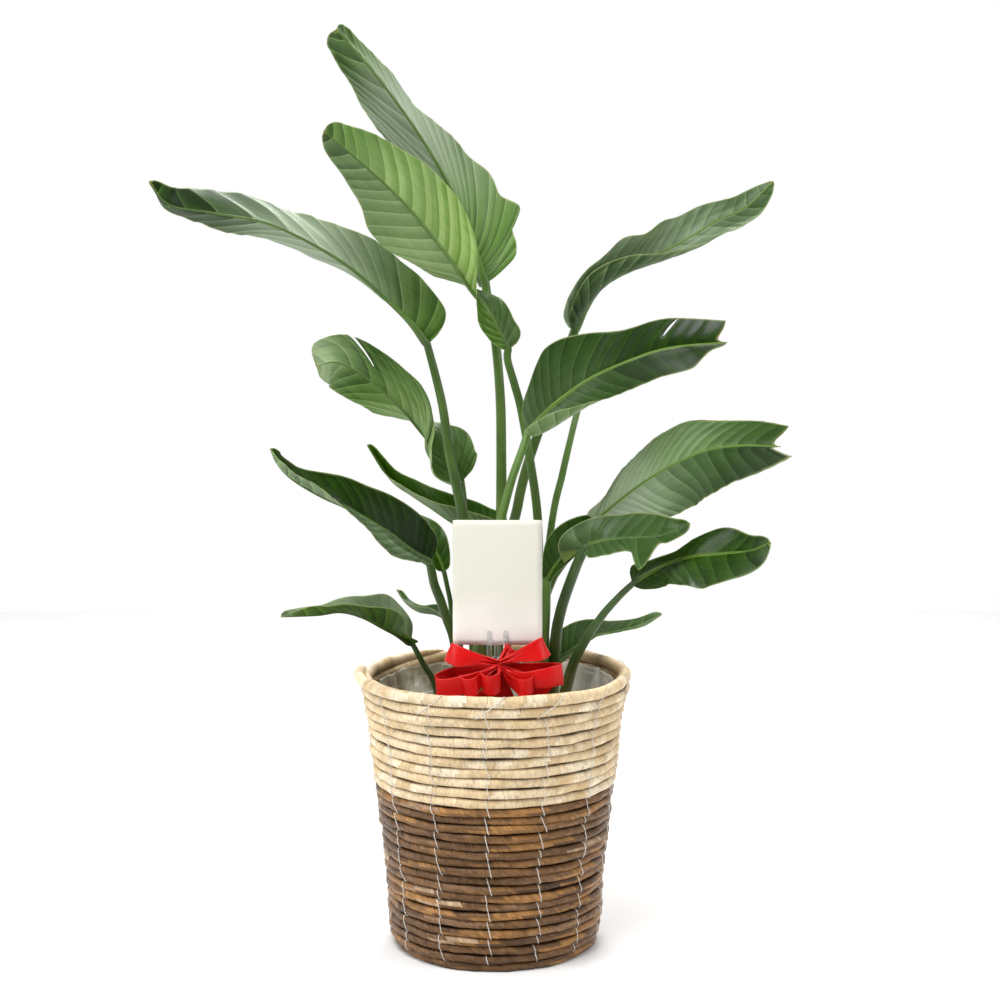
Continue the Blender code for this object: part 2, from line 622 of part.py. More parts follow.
def make_blade(name, leaf, surface, rows=12, columns=2):
    """The two halves as one closed leaf, thickest along the rib and thinning to the tip."""
    right, right_up = blade_half(leaf, -1, rows, columns)
    left, left_up = blade_half(leaf, 1, rows, columns)
    middle = unit(left_up[:, :1] + right_up[:, :1])
    points = np.concatenate([right[:, :0:-1], left], axis=1)
    normals = np.concatenate([right_up[:, :0:-1], middle, left_up[:, 1:]], axis=1)
    across = points.shape[1]
    thickness = np.full(points.shape[:2], BLADE_THICKNESS)
    thickness[:, columns] = np.linspace(RIB_THICKNESS, BLADE_THICKNESS, rows + 1)
    lift = normals * thickness[..., None] / 2
    top, bottom = points + lift, points - lift
    for end in (0, rows):
        top[end], bottom[end] = top[end, columns], bottom[end, columns]
    count = (rows + 1) * across
    faces = []
    for i in range(rows):
        for j in range(across - 1):
            a, b = i * across + j, (i + 1) * across + j
            faces.append((a, a + 1, b + 1, b))
            faces.append((count + a, count + b, count + b + 1, count + a + 1))
        for j in (0, across - 1):
            a, b = i * across + j, (i + 1) * across + j
            faces.append((a, b, count + b, count + a))
    add_closed(name, np.concatenate([top.reshape(-1, 3), bottom.reshape(-1, 3)]), faces, surface)


def add_closed(name, points, faces, surface):
    """As add_mesh, with the faces that shrink to nothing at a blade's ends left out."""
    _, first, merged = np.unique(np.round(points, 7), axis=0, return_index=True, return_inverse=True)
    merged = merged.reshape(-1)
    kept = []
    for face in faces:
        corners = [merged[i] for i in face]
        corners = [c for k, c in enumerate(corners) if c != corners[k - 1]]
        if len(corners) > 2:
            kept.append(corners)
    return add_mesh(name, points[first], kept, surface)


def make_leaves():
    green = material("leaf", (0.10, 0.25, 0.06), 0.4)
    stem = material("leaf_stalk", (0.14, 0.27, 0.07), 0.45)
    for name, leaf in LEAVES.items():
        make_blade("blade_" + name, leaf, green)
        rib = np.array(leaf.rib)
        start = rib[0] - unit(rib[1] - rib[0]) * STALK_TO_BLADE
        path = smooth_curve([start] + leaf.stalk, 3 + len(leaf.stalk))
        path[-1][2] = SOIL_TOP + GAP
        tube("stalk_" + name, path, leaf.radii, stem)


# ---------------------------------------------------------------- card, pick and bow
def make_card():
    x, y, z = CARD_CENTRE
    width, height = CARD_SIZE
    paper = material("card", (0.90, 0.87, 0.80), 0.6)
    low, high = (x - width / 2, y, z - height / 2), (x + width / 2, y + CARD_THICKNESS, z + height / 2)
    block("card", low, high, paper)


def make_pick():
    """A clear fork: two front prongs and one behind grip the card's lower edge, above a stem in the soil."""
    clear = material("clear_plastic", (0.9, 0.9, 0.9), 0.1, alpha=0.35)
    x, y, card_z = CARD_CENTRE
    width, thick = PICK_PRONG
    foot = card_z - CARD_SIZE[1] / 2 - PICK_DROP
    front = y - GAP - thick
    back = y + CARD_THICKNESS + GAP
    stem = block("card_pick", (x - 0.014, front, foot), (x + 0.014, back + thick, foot + 0.006), clear)
    prongs = []
    for i, centre in enumerate((x - 0.0085, x + 0.0085)):
        low = (centre - width / 2, front - 0.0001, foot + 0.002)
        high = (centre + width / 2, front + thick - 0.0001, foot + PICK_HEIGHT)
        prongs.append(block(f"pick_prong_{i}", low, high, clear))
    low = (x - width / 2, back + 0.0001, foot + 0.002)
    high = (x + width / 2, back + thick + 0.0001, foot + PICK_HEIGHT)
    prongs.append(block("pick_prong_back", low, high, clear))
    path = smooth_curve([(x, y, foot + 0.003), (x, y, 0.28), (x, y, SOIL_TOP + GAP)], 3)
    prongs.append(tube("pick_stem", path, (PICK_STEM_RADIUS, PICK_STEM_RADIUS), clear, sides=8))
    join(stem, prongs)


def bow_loop(name, anchor, axis, bulge, length, width, surface):
    """A teardrop of ribbon that leaves the bow's centre along axis and opens out along bulge."""
    t = np.linspace(0, 1, 17)[:, None]
    axis = unit(np.array(axis, float))
    bulge = np.array(bulge, float)
    start = np.array(BOW_CENTRE) + np.array(anchor)
    path = start + axis * length * np.sin(pi * t) ** 0.9 + bulge * np.sin(2 * pi * t)
    path[0], path[-1] = start - axis * 0.0015 + bulge * 0.08, start - axis * 0.0015 - bulge * 0.08
    centre = start + axis * length * 0.5
    widths = width * (0.36 + 0.64 * np.sin(pi * t[:, 0]) ** 0.5)
    return strip(name, path, path - centre, widths, RIBBON_THICKNESS, surface)


def make_bow():
    """One satin ribbon, folded into seven loops with three cut tails, gathered by a tie at its centre."""
    satin = material("ribbon", (0.72, 0.03, 0.03), 0.35)
    x, y, z = BOW_CENTRE
    knot = block("ribbon_bow", (x - 0.0055, y - 0.006, z - 0.010), (x + 0.0055, y + 0.006, z + 0.011), satin)
    loops = [
        ("upper_left", (-0.005, 0.001, 0.006), (-1, -0.1, 0.28), (0.0, 0.010, 0.0), 0.050, 0.022),
        ("upper_right", (0.005, 0.001, 0.006), (1, -0.1, 0.36), (0.0, 0.010, 0.0), 0.052, 0.024),
        ("lower_left", (-0.005, -0.002, -0.004), (-1, -0.12, -0.20), (-0.002, 0.012, 0.003), 0.062, 0.024),
        ("lower_right", (0.005, -0.002, -0.004), (1, -0.12, -0.12), (0.0, 0.010, 0.003), 0.065, 0.024),
        ("small_left", (-0.003, -0.0055, -0.005), (-0.75, -0.75, -0.25), (-0.006, 0.006, 0.0), 0.026, 0.018),
        ("small_middle", (0.0, -0.0055, -0.002), (0.05, -1, -0.45), (0.007, 0.0, 0.0), 0.024, 0.018),
        ("small_right", (0.003, -0.0055, -0.005), (0.8, -0.75, -0.25), (0.006, 0.006, 0.0), 0.030, 0.018),
    ]
    pieces = [bow_loop("loop_" + name, *shape, satin) for name, *shape in loops]
    tails = [
        ("left", (-0.003, 0.003, -0.009), (-0.020, 0.004, -0.048)),
        ("middle", (0.0, 0.0045, -0.009), (0.006, 0.012, -0.050)),
        ("right", (0.003, 0.001, -0.009), (0.042, 0.002, -0.042)),
    ]
    for name, start, end in tails:
        path = smooth_curve([np.array(BOW_CENTRE) + start, np.array(BOW_CENTRE) + end], 4)
        widths = np.linspace(0.009, 0.020, 5)
        outward = np.tile((0.0, -1.0, 0.0), (5, 1))
        pieces.append(strip("tail_" + name, path, outward, widths, RIBBON_THICKNESS, satin))
    join(knot, pieces)


clear_scene()
make_basket()
make_liner()
make_pot()
make_leaves()
make_card()
make_pick()
make_bow()
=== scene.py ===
"""The looks of a young bird of paradise in its basket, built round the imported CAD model."""

from math import cos, pi, radians, sin
from typing import NamedTuple

import bpy
import numpy as np
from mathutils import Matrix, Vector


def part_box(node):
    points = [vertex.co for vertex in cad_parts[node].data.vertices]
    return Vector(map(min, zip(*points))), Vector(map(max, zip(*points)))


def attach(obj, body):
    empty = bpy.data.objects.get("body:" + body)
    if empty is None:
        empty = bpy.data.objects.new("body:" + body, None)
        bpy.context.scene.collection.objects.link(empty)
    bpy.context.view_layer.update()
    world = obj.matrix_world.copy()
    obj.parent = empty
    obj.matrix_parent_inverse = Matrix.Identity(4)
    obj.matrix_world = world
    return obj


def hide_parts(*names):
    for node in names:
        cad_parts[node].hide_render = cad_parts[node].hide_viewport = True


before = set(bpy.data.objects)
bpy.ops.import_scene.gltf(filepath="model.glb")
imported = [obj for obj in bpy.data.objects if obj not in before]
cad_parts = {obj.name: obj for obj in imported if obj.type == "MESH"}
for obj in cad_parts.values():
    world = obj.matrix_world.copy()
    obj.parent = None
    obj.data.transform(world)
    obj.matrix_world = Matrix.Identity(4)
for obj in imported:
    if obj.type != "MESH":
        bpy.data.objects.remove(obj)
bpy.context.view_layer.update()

# ---------------------------------------------------------------- camera, light and floor
# A white studio: an even white surround, a large soft lamp high on the left, a weaker one on the
# right and one behind that shines through the leaves. The camera stands 1.97 m in front of the
# basket's axis and 0.69 m up, and looks 5.9 degrees down.
LENS = 65.9
LOOKS_DOWN = 5.9
FLOOR_SIZE = 4.4
FRONT_LIGHT = 0.22  # the surround's brightness behind the camera
RIGHT_SHADE = 0.42  # how much dimmer it is low on the right

camera_data = bpy.data.cameras.new("camera")
camera_data.lens = LENS
camera = bpy.data.objects.new("camera", camera_data)
camera.location = (0.0056, -1.97, 0.69)
camera.rotation_euler = (radians(90 - LOOKS_DOWN), 0, 0)
bpy.context.collection.objects.link(camera)
bpy.context.scene.camera = camera
bpy.context.scene.view_settings.view_transform = "Standard"


def add_node(tree, kind, inputs=None, **settings):
    """A shader node. Each input, by name or number, gets a value or the socket to read."""
    made = tree.nodes.new(kind)
    for name, value in settings.items():
        setattr(made, name, value)
    for name, value in (inputs or {}).items():
        if isinstance(value, bpy.types.NodeSocket):
            tree.links.new(value, made.inputs[name])
        else:
            made.inputs[name].default_value = value
    return made


def new_material(name):
    """A material with only its output node, and its node tree."""
    made = bpy.data.materials.new(name)
    made.use_nodes = True
    made.node_tree.nodes.clear()
    return made, made.node_tree


def finish_material(tree, shader):
    add_node(tree, "ShaderNodeOutputMaterial", {"Surface": shader.outputs[0]})


def finish_principled(tree, inputs):
    finish_material(tree, add_node(tree, "ShaderNodeBsdfPrincipled", inputs))


def own_place(tree):
    return add_node(tree, "ShaderNodeTexCoord").outputs["Object"]


def maths(tree, operation, first, second=0.0, third=0.0, clamp=False):
    values = {0: first, 1: second, 2: third}
    return add_node(tree, "ShaderNodeMath", values, operation=operation, use_clamp=clamp).outputs[0]


def ease(tree, value, low, high, to_low=0.0, to_high=1.0):
    """The value taken smoothly from low..high to to_low..to_high."""
    inputs = {"Value": value, "From Min": low, "From Max": high, "To Min": to_low, "To Max": to_high}
    return add_node(tree, "ShaderNodeMapRange", inputs, interpolation_type="SMOOTHSTEP").outputs[0]


def mix(tree, factor, first, second, blend="MIX"):
    inputs = {0: factor, 6: first, 7: second}
    return add_node(tree, "ShaderNodeMix", inputs, data_type="RGBA", blend_type=blend).outputs[2]


def noise(tree, vector, scale, detail=2.0, roughness=0.5):
    inputs = {"Vector": vector, "Scale": scale, "Detail": detail, "Roughness": roughness}
    return add_node(tree, "ShaderNodeTexNoise", inputs).outputs["Fac"]


def add_mesh(name, points, faces, materials):
    """A smooth-shaded mesh object. faces: corner lists, or an array of them."""
    mesh = bpy.data.meshes.new(name)
    mesh.from_pydata(np.asarray(points).tolist(), [], [list(map(int, face)) for face in faces])
    mesh.shade_smooth()
    for material in materials:
        mesh.materials.append(material)
    made = bpy.data.objects.new(name, mesh)
    bpy.context.collection.objects.link(made)
    return made


def floor_material():
    made, tree = new_material("studio_floor")
    patch = noise(tree, own_place(tree), 3.0)
    colour = mix(tree, patch, (0.84, 0.84, 0.84, 1), (0.86, 0.86, 0.86, 1))
    finish_principled(tree, {"Base Color": colour, "Roughness": 0.8})
    return made


half = FLOOR_SIZE / 2
floor = add_mesh("floor", [(-half, -half, 0), (half, -half, 0), (half, half, 0), (-half, half, 0)],
                 [(0, 1, 2, 3)], [floor_material()])


def make_surround():
    """White behind the plant and overhead, dimmer where the camera stands and low on the right."""
    world = bpy.data.worlds.new("studio")
    world.use_nodes = True
    tree = world.node_tree
    toward = add_node(tree, "ShaderNodeTexCoord").outputs["Generated"]
    right, back, up = add_node(tree, "ShaderNodeSeparateXYZ", {0: toward}).outputs
    low = ease(tree, up, 0.3, 0.6, 1.0, 0.0)
    shade = maths(tree, "MULTIPLY", ease(tree, right, 0.35, 0.8, 0.0, RIGHT_SHADE), low)
    light = ease(tree, back, -0.7, 0.6, FRONT_LIGHT, 1.0)
    light = maths(tree, "MULTIPLY", light, maths(tree, "SUBTRACT", 1.0, shade))
    tree.links.new(light, tree.nodes["Background"].inputs["Strength"])
    tree.nodes["Background"].inputs["Color"].default_value = (1, 1, 1, 1)
    bpy.context.scene.world = world


def add_lamp(name, place, target, size, watts):
    data = bpy.data.lights.new(name, "AREA")
    data.shape = "DISK"
    data.size = size
    data.energy = watts
    lamp = bpy.data.objects.new(name, data)
    lamp.location = place
    toward = np.array(target) - np.array(place)
    yaw = np.arctan2(-toward[0], toward[1])
    lamp.rotation_euler = (np.arctan2(np.hypot(toward[0], toward[1]), -toward[2]), 0, yaw)
    bpy.context.collection.objects.link(lamp)


make_surround()
add_lamp("lamp_overhead", (-0.5, -0.9, 2.7), (0, 0, 0.5), 1.3, 56)
add_lamp("lamp_left", (-2.0, -0.9, 1.5), (0, 0, 0.4), 0.9, 22)
add_lamp("lamp_right", (2.2, -0.8, 1.4), (0, 0, 0.4), 0.9, 19)
add_lamp("lamp_behind", (0.3, 1.6, 2.4), (0, 0, 0.6), 1.2, 40)

# ---------------------------------------------------------------- basket: wall
# One long coil of dried stalks, spiralling down from its tapered end at the rim. Every turn is
# sewn to the one above. The upper turns are wound in pale husk, the lower ones in twisted
# brown husk. Each turn lies level and steps down to the next one at the back.
COIL_STEP = 0.0035  # between the points along a coil
TURN_LENGTH = 0.85  # round the basket once
PALE_TURNS = 11  # with the rim
BROWN_TURNS = 19
END_ANGLE = -155  # where the coil's upper end lies, in degrees from the front, right positive
STEP_FROM = 320 / 360  # share of a turn after which it steps down
TAPER = 0.10  # share of a turn over which each free end tapers
SIDES = 16  # of a coil's section
RIM_RADIUS = 0.0063
RIM_CENTRE = (0.1425, 0.2937)  # radius and height of the rim coil's centre line

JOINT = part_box("basket_cream_band")[0].z  # the height where the pale turns begin
# height and outer radius up the wall
WALL = [(0.000, 0.1090), (0.008, 0.1145), (0.030, 0.1178), (0.090, 0.1212), (0.137, 0.1268),
        (0.180, 0.1315), (0.210, 0.1358), (0.235, 0.1378), (0.258, 0.1415), (0.290, 0.1480)]
# the rim's top rises and falls: degrees from the front, and height
RIM_TOP = [(-155, 0.3110), (-141, 0.3060), (-128, 0.3020), (-110, 0.2995), (-90, 0.2985),
           (-20, 0.3005), (30, 0.3000), (90, 0.3010), (110, 0.3030), (134, 0.3033),
           (150, 0.3020), (205, 0.3100)]


def wander(x, spacing, seed):
    """A smooth random curve between -1 and 1 that turns about once every spacing."""
    values = np.random.default_rng(seed).uniform(-1, 1, 4096)
    place = np.asarray(x, float) / spacing
    index = np.floor(place).astype(int)
    part = place - index
    part = part * part * (3 - 2 * part)
    return values[index % 4096] * (1 - part) + values[(index + 1) % 4096] * part


def level_sizes():
    """For each turn from the rim down: height of its centre, half height and half thickness."""
    pale_top = RIM_CENTRE[1] - RIM_RADIUS
    pitch = (pale_top - JOINT) / (PALE_TURNS - 1)
    sizes = [(RIM_CENTRE[1], RIM_RADIUS, RIM_RADIUS)]
    for turn in range(PALE_TURNS - 1):
        sizes.append((pale_top - (turn + 0.5) * pitch, pitch / 2 + 0.0001, 0.0056))
    pitch = JOINT / BROWN_TURNS
    for turn in range(BROWN_TURNS + 1):
        sizes.append((max(JOINT - (turn + 0.5) * pitch, pitch / 2), pitch / 2 + 0.0001, 0.0050))
    return np.array(sizes)


def wall_coil(turns):
    """Angle, radius and height of the coil's centre line, its half thickness and half height."""
    level = np.floor(turns + 1e-9).astype(int)
    share = turns - level
    step = np.clip((share - STEP_FROM) / (1 - STEP_FROM), 0, 1)
    step = step * step * (3 - 2 * step)
    sizes = level_sizes()
    here, below = sizes[level], sizes[np.minimum(level + 1, len(sizes) - 1)]
    height, half_height, half_thick = (here + (below - here) * step[:, None]).T
    radius = np.interp(height, [z for z, _ in WALL], [r for _, r in WALL]) - half_thick
    degrees = END_ANGLE + 360 * share
    along = turns * TURN_LENGTH
    stretch = (np.interp(degrees, *zip(*RIM_TOP)) - JOINT) / (RIM_CENTRE[1] + RIM_RADIUS - JOINT)
    height = np.where(height > JOINT, JOINT + (height - JOINT) * stretch, height)
    half_height = np.where(height > JOINT, half_height * stretch, half_height)
    # the hand-wound coil swings in and out and up and down, and swells and thins
    radius += 0.0012 * wander(along, 0.060, 1) + 0.0007 * wander(along, 0.014, 2)
    lift = 0.0011 * wander(along, 0.070, 3) + 0.0005 * wander(along, 0.021, 4)
    size = 1 + 0.13 * wander(along, 0.045, 5) + 0.07 * wander(along, 0.010, 6)
    # at the front left the rim coil lies inside the one whose cut end shows
    aside = np.where(turns < 1, np.exp(-(((degrees + 68) / 24) ** 2)), 0.0)
    radius -= 0.0062 * aside
    height = height - 0.0022 * aside
    half_thick = half_thick * (1 - 0.25 * aside)
    height = height + lift * np.clip((height - half_height) / 0.01, 0, 1)
    return np.radians(degrees), radius, height, half_thick * size, half_height * (0.6 + 0.4 * size)


def grid_faces(rows, columns, closed=False):
    """Quads over rows of points, with each one's row and column. closed: each row is a ring."""
    quads_across = columns if closed else columns - 1
    row, column = np.divmod(np.arange((rows - 1) * quads_across), quads_across)
    here, after = row * columns, (column + 1) % columns
    beyond = here + columns
    return np.stack([here + column, here + after, beyond + after, beyond + column], -1), row, column


FLIPPED = [0, 3, 2, 1]  # the corners of a quad that faces the other way


def metres_along(path):
    return np.r_[0, np.cumsum(np.linalg.norm(np.diff(path, axis=0), axis=1))]


def store_uv(made, uv):
    """Stores metres along and across for each corner of each face."""
    made.data.uv_layers.new(name="UVMap").data.foreach_set("uv", uv.astype(np.float32).ravel())


def sweep(name, centres, side, up, half_side, half_up, sides, materials):
    """A closed tube of elliptical section."""
    turn = 2 * pi * np.arange(sides) / sides
    offset = (np.cos(turn)[None, :, None] * (side * half_side[:, None])[:, None]
              + np.sin(turn)[None, :, None] * (up * half_up[:, None])[:, None])
    points = (centres[:, None] + offset).reshape(-1, 3)
    count = len(centres)
    quads, ring, k = grid_faces(count, sides, closed=True)
    faces = quads.tolist() + [list(range(sides))[::-1], list(range((count - 1) * sides, count * sides))]
    made = add_mesh(name, points, faces, materials)
    along, girth = metres_along(centres), pi * (half_side + half_up)
    u = np.stack([along[ring]] * 2 + [along[ring + 1]] * 2, axis=-1)
    v = np.stack([k, k + 1, k + 1, k], axis=-1) / sides
    v = v * np.stack([girth[ring]] * 2 + [girth[ring + 1]] * 2, axis=-1)
    ends = [(along[0], 0.0)] * sides + [(along[-1], 0.0)] * sides
    store_uv(made, np.concatenate([np.stack([u, v], axis=-1).reshape(-1, 2), ends]))
    return made


def set_attributes(made, shape, **values):
    """Stores numbers for each point. shape: how many rows of points there are, of how many."""
    for name, value in values.items():
        spread = np.ascontiguousarray(np.broadcast_to(value, shape), dtype=np.float32).ravel()
        made.data.attributes.new(name, "FLOAT", "POINT").data.foreach_set("value", spread)


def round_about(angle, radius, height):
    """Points at an angle from the front, right positive."""
    return np.stack([radius * np.sin(angle), -radius * np.cos(angle), height], axis=-1)


def add_coil(name, angle, radius, height, half_thick, half_tall, sides, material):
    """A coil that lies level round the basket's axis, with the place of each side of its section."""
    count = len(angle)
    outward = round_about(angle, np.ones(count), np.zeros(count))
    upward = np.tile((0.0, 0.0, 1.0), (count, 1))
    centres = round_about(angle, radius, height)
    coil = sweep(name, centres, outward, upward, half_thick, half_tall, sides, [material])
    return coil, 2 * pi * np.arange(sides) / sides


def rgb(red, green, blue):
    """A shader colour from the 0 to 255 values that a screen shows."""
    return (*((value / 255) ** 2.2 for value in (red, green, blue)), 1.0)


def bump(tree, height, distance):
    inputs = {"Height": height, "Distance": distance, "Strength": 1.0}
    return add_node(tree, "ShaderNodeBump", inputs).outputs[0]


def attribute(tree, name):
    return add_node(tree, "ShaderNodeAttribute", attribute_name=name).outputs["Fac"]


def uv_place(tree):
    """Metres along a piece and metres across it."""
    uv = add_node(tree, "ShaderNodeUVMap").outputs[0]
    return add_node(tree, "ShaderNodeSeparateXYZ", {0: uv}).outputs[:2]


def flat_place(tree, first, second):
    return add_node(tree, "ShaderNodeCombineXYZ", {0: first, 1: second}).outputs[0]


def scaled_place(tree, first, by_first, second, by_second):
    """A place for a noise from two lengths, each with its own fineness."""
    first = maths(tree, "MULTIPLY", first, by_first)
    return flat_place(tree, first, maths(tree, "MULTIPLY", second, by_second))


def swing(tree, value, strength, base=0.0):
    """The base, moved by strength times how far the value lies from a half."""
    return maths(tree, "MULTIPLY_ADD", maths(tree, "SUBTRACT", value, 0.5), strength, base)


def new_group(name, inputs, colours, numbers):
    """A shader group with named inputs at these values, and outputs for colours and numbers."""
    tree = bpy.data.node_groups.new(name, "ShaderNodeTree")
    new_socket = tree.interface.new_socket
    for key, value in inputs.items():
        new_socket(key, in_out="INPUT", socket_type="NodeSocketFloat").default_value = value
    for key in colours:
        new_socket(key, in_out="OUTPUT", socket_type="NodeSocketColor")
    for key in numbers:
        new_socket(key, in_out="OUTPUT", socket_type="NodeSocketFloat")
    return tree, add_node(tree, "NodeGroupInput").outputs


def wound_husk():
    """Shader group for a coil wound in strips: the strips, their narrow folds, and the fibres."""
    inputs = {"Strip Width": 0.020, "Fold Width": 0.005, "Slant": 0.0, "Fibres": 1100.0}
    outputs = ["Strip", "Fold", "Lip", "Fibre", "Wrinkle", "Height"]
    tree, given = new_group("wound_husk", inputs, [], outputs)
    along, across = uv_place(tree)
    slanted = maths(tree, "MULTIPLY_ADD", across, given["Slant"], along)
    bend = noise(tree, flat_place(tree, slanted, across), 70.0, 1.0)
    slanted = maths(tree, "MULTIPLY_ADD", bend, 0.007, slanted)

    def cells(width):
        """A random number for each piece of this width, and the metres to its nearer edge."""
        place = {"W": maths(tree, "DIVIDE", slanted, width), "Scale": 1.0, "Randomness": 1.0}
        kind, edge = (
            add_node(tree, "ShaderNodeTexVoronoi", place, voronoi_dimensions="1D", feature=feature)
            for feature in ("F1", "DISTANCE_TO_EDGE"))
        kind = add_node(tree, "ShaderNodeSeparateColor", {0: kind.outputs["Color"]}).outputs[0]
        return kind, maths(tree, "MULTIPLY", edge.outputs["Distance"], width)

    strip, strip_edge = cells(given["Strip Width"])
    fold, fold_edge = cells(given["Fold Width"])
    lip = ease(tree, strip_edge, 0.0, 0.0006, 1.0, 0.0)
    lip = maths(tree, "MULTIPLY", lip, ease(tree, strip, 0.55, 0.8))
    crease = ease(tree, fold_edge, 0.0, 0.0008, 1.0, 0.0)
    fibre = noise(tree, scaled_place(tree, slanted, given["Fibres"], across, 45.0), 1.0, 3.0, 0.6)
    wrinkle = noise(tree, scaled_place(tree, slanted, 240.0, across, 30.0), 1.0, 2.0, 0.55)
    rise = maths(tree, "MULTIPLY", strip, 0.2)
    for part, strength in ((fold, 0.25), (wrinkle, 0.9), (fibre, 0.35), (crease, -0.12), (lip, -0.5)):
        rise = maths(tree, "MULTIPLY_ADD", part, strength, rise)
    add_node(tree, "NodeGroupOutput", dict(zip(outputs, (strip, fold, lip, fibre, wrinkle, rise))))
    return tree


husk_group = wound_husk()


def husk_material(name, winding, tones, lip_and_shade_tone, dirt_tone, seam_shade_tone, contrast, relief, roughness):
    """A coil's finish.

    winding: the group's inputs. tones: one after another along a strip's random number.
    contrast: of the folds, the fibres and the wrinkles.
    """
    made, tree = new_material(name)
    out = add_node(tree, "ShaderNodeGroup", winding, node_tree=husk_group).outputs
    steps = len(tones) - 1
    colour = rgb(*tones[0])
    for step in range(steps):
        share = ease(tree, out["Strip"], step / steps, (step + 1) / steps)
        colour = mix(tree, share, colour, rgb(*tones[step + 1]))
    place = own_place(tree)
    stain = noise(tree, place, 48.0, 4.0, 0.65)
    light = swing(tree, noise(tree, place, 11.0, 2.0), 0.40, 1.0)
    for key, strength in zip(("Fold", "Fibre", "Wrinkle"), contrast):
        light = swing(tree, out[key], strength, light)
    grey = add_node(tree, "ShaderNodeCombineColor", {0: light, 1: light, 2: light}).outputs[0]
    colour = mix(tree, 1.0, colour, grey, "MULTIPLY")
    colour = mix(tree, ease(tree, stain, 0.50, 0.72, 0.0, 0.70), colour, dirt_tone)
    colour = mix(tree, maths(tree, "MULTIPLY", out["Lip"], 0.4), colour, lip_and_shade_tone)
    # the side of each coil that faces into the basket is darkened: painted shade inside the basket
    colour = mix(tree, maths(tree, "MULTIPLY", attribute(tree, "inner"), 0.55), colour, lip_and_shade_tone)
    # painted shade in the seams between turns, its strength varied by the stain noise
    gap = maths(tree, "MULTIPLY", attribute(tree, "gap"), ease(tree, stain, 0.35, 0.60, 0.55, 1.0))
    colour = mix(tree, gap, colour, seam_shade_tone)
    normal = bump(tree, out["Height"], relief)
    finish_principled(tree, {"Base Color": colour, "Roughness": roughness, "Normal": normal,
                             "Specular IOR Level": 0.25})
    return made


pale_husk = husk_material(
    "pale_husk", {"Strip Width": 0.022, "Fold Width": 0.007, "Slant": 0.10, "Fibres": 1100.0},
    tones=[(214, 188, 146), (224, 200, 160), (232, 210, 174), (240, 224, 194)],
    lip_and_shade_tone=rgb(158, 118, 72), dirt_tone=rgb(200, 166, 116), seam_shade_tone=rgb(70, 44, 24),
    contrast=(0.16, 0.80, 0.80), relief=0.0016, roughness=0.5)
brown_husk = husk_material(
    "brown_husk", {"Strip Width": 0.040, "Fold Width": 0.0050, "Slant": 0.9, "Fibres": 520.0},
    tones=[(84, 62, 42), (126, 92, 60), (100, 74, 50), (140, 102, 62),
           (162, 118, 70), (108, 80, 54), (132, 100, 72), (188, 158, 126)],
    lip_and_shade_tone=rgb(54, 38, 24), dirt_tone=rgb(78, 58, 42), seam_shade_tone=rgb(20, 13, 8),
    contrast=(0.4, 1.25, 0.75), relief=0.0026, roughness=0.33)


def wall_band(name, first, last, material):
    """The turns from first to last, with a taper at the coil's two free ends."""
    turns = np.linspace(first, last, int((last - first) * 0.83 / COIL_STEP))
    angle, radius, height, thick, tall = wall_coil(turns)
    upper_end = np.sqrt(np.clip(turns / TAPER, 0.02, 1))
    lower_end = np.sqrt(np.clip((PALE_TURNS + BROWN_TURNS - turns) / TAPER - 1.1, 0.02, 1))
    height = height - tall * (1 - upper_end) - tall * (1 - lower_end)
    thick, tall = thick * upper_end * lower_end, tall * upper_end * lower_end
    band, turn = add_coil(name, angle, radius, height, thick, tall, SIDES, material)
    # painted shade darkens the seam with the next turn, but not on top of the rim
    rim = np.clip(1.02 - turns, 0, 0.02)[:, None] / 0.02
    depth = np.clip((np.abs(np.sin(turn)) - 0.80) / 0.20, 0, 1) * (1 - rim * (np.sin(turn) > 0))
    # inner: how far each side faces into the basket, where painted shade darkens it
    set_attributes(band, depth.shape, gap=depth, inner=np.clip(-np.cos(turn), 0, 1))
    return band


pale_coils = wall_band("pale_coils", 0.0, float(PALE_TURNS), pale_husk)
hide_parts("basket_cream_band")
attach(pale_coils, "root")
last_turn = PALE_TURNS + BROWN_TURNS - 0.11  # where its lower end lies
brown_coils = wall_band("brown_coils", float(PALE_TURNS), last_turn, brown_husk)
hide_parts("basket_brown_band")
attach(brown_coils, "root")


def eased(value, low, high):
    share = np.clip((value - low) / (high - low), 0, 1)
    return share * share * (3 - 2 * share)


def cut_end():
    """The outer of two pale coils side by side at the rim, whose cut end stands out at the left."""
    along = np.linspace(0, 1, 70)
    tucked = 0.0038 * eased(along, 0.1, 1.0)  # how far it draws in and down to join the next turn
    thick = 0.0058 * np.sqrt(1 - np.clip(along - 0.75, 0, 0.24) ** 2 * 16)
    thick[0] *= 0.7
    stub, turn = add_coil("cut_end", np.radians(-98 + 66 * along), 0.1478 - tucked,
                          0.2962 - tucked, thick, thick * 0.95, SIDES, pale_husk)
    # painted shade on the stub's underside where it lies on the next turn; inner marks its cut face,
    # which takes the darker lip tone
    under = np.clip(-np.sin(turn) - 0.7, 0, 0.3) / 0.3
    set_attributes(stub, (len(along), len(turn)), gap=under, inner=(along < 0.01)[:, None])
    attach(stub, "root")


cut_end()

# ---------------------------------------------------------------- basket: floor
# The basket's floor is a flat spiral of the same brown coil, wound from the middle out to the
# wall. It is what the basket stands on.
floor_low, floor_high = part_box("basket_base")
FLOOR_COIL = (floor_high.z - floor_low.z) / 2  # half the coil's thickness


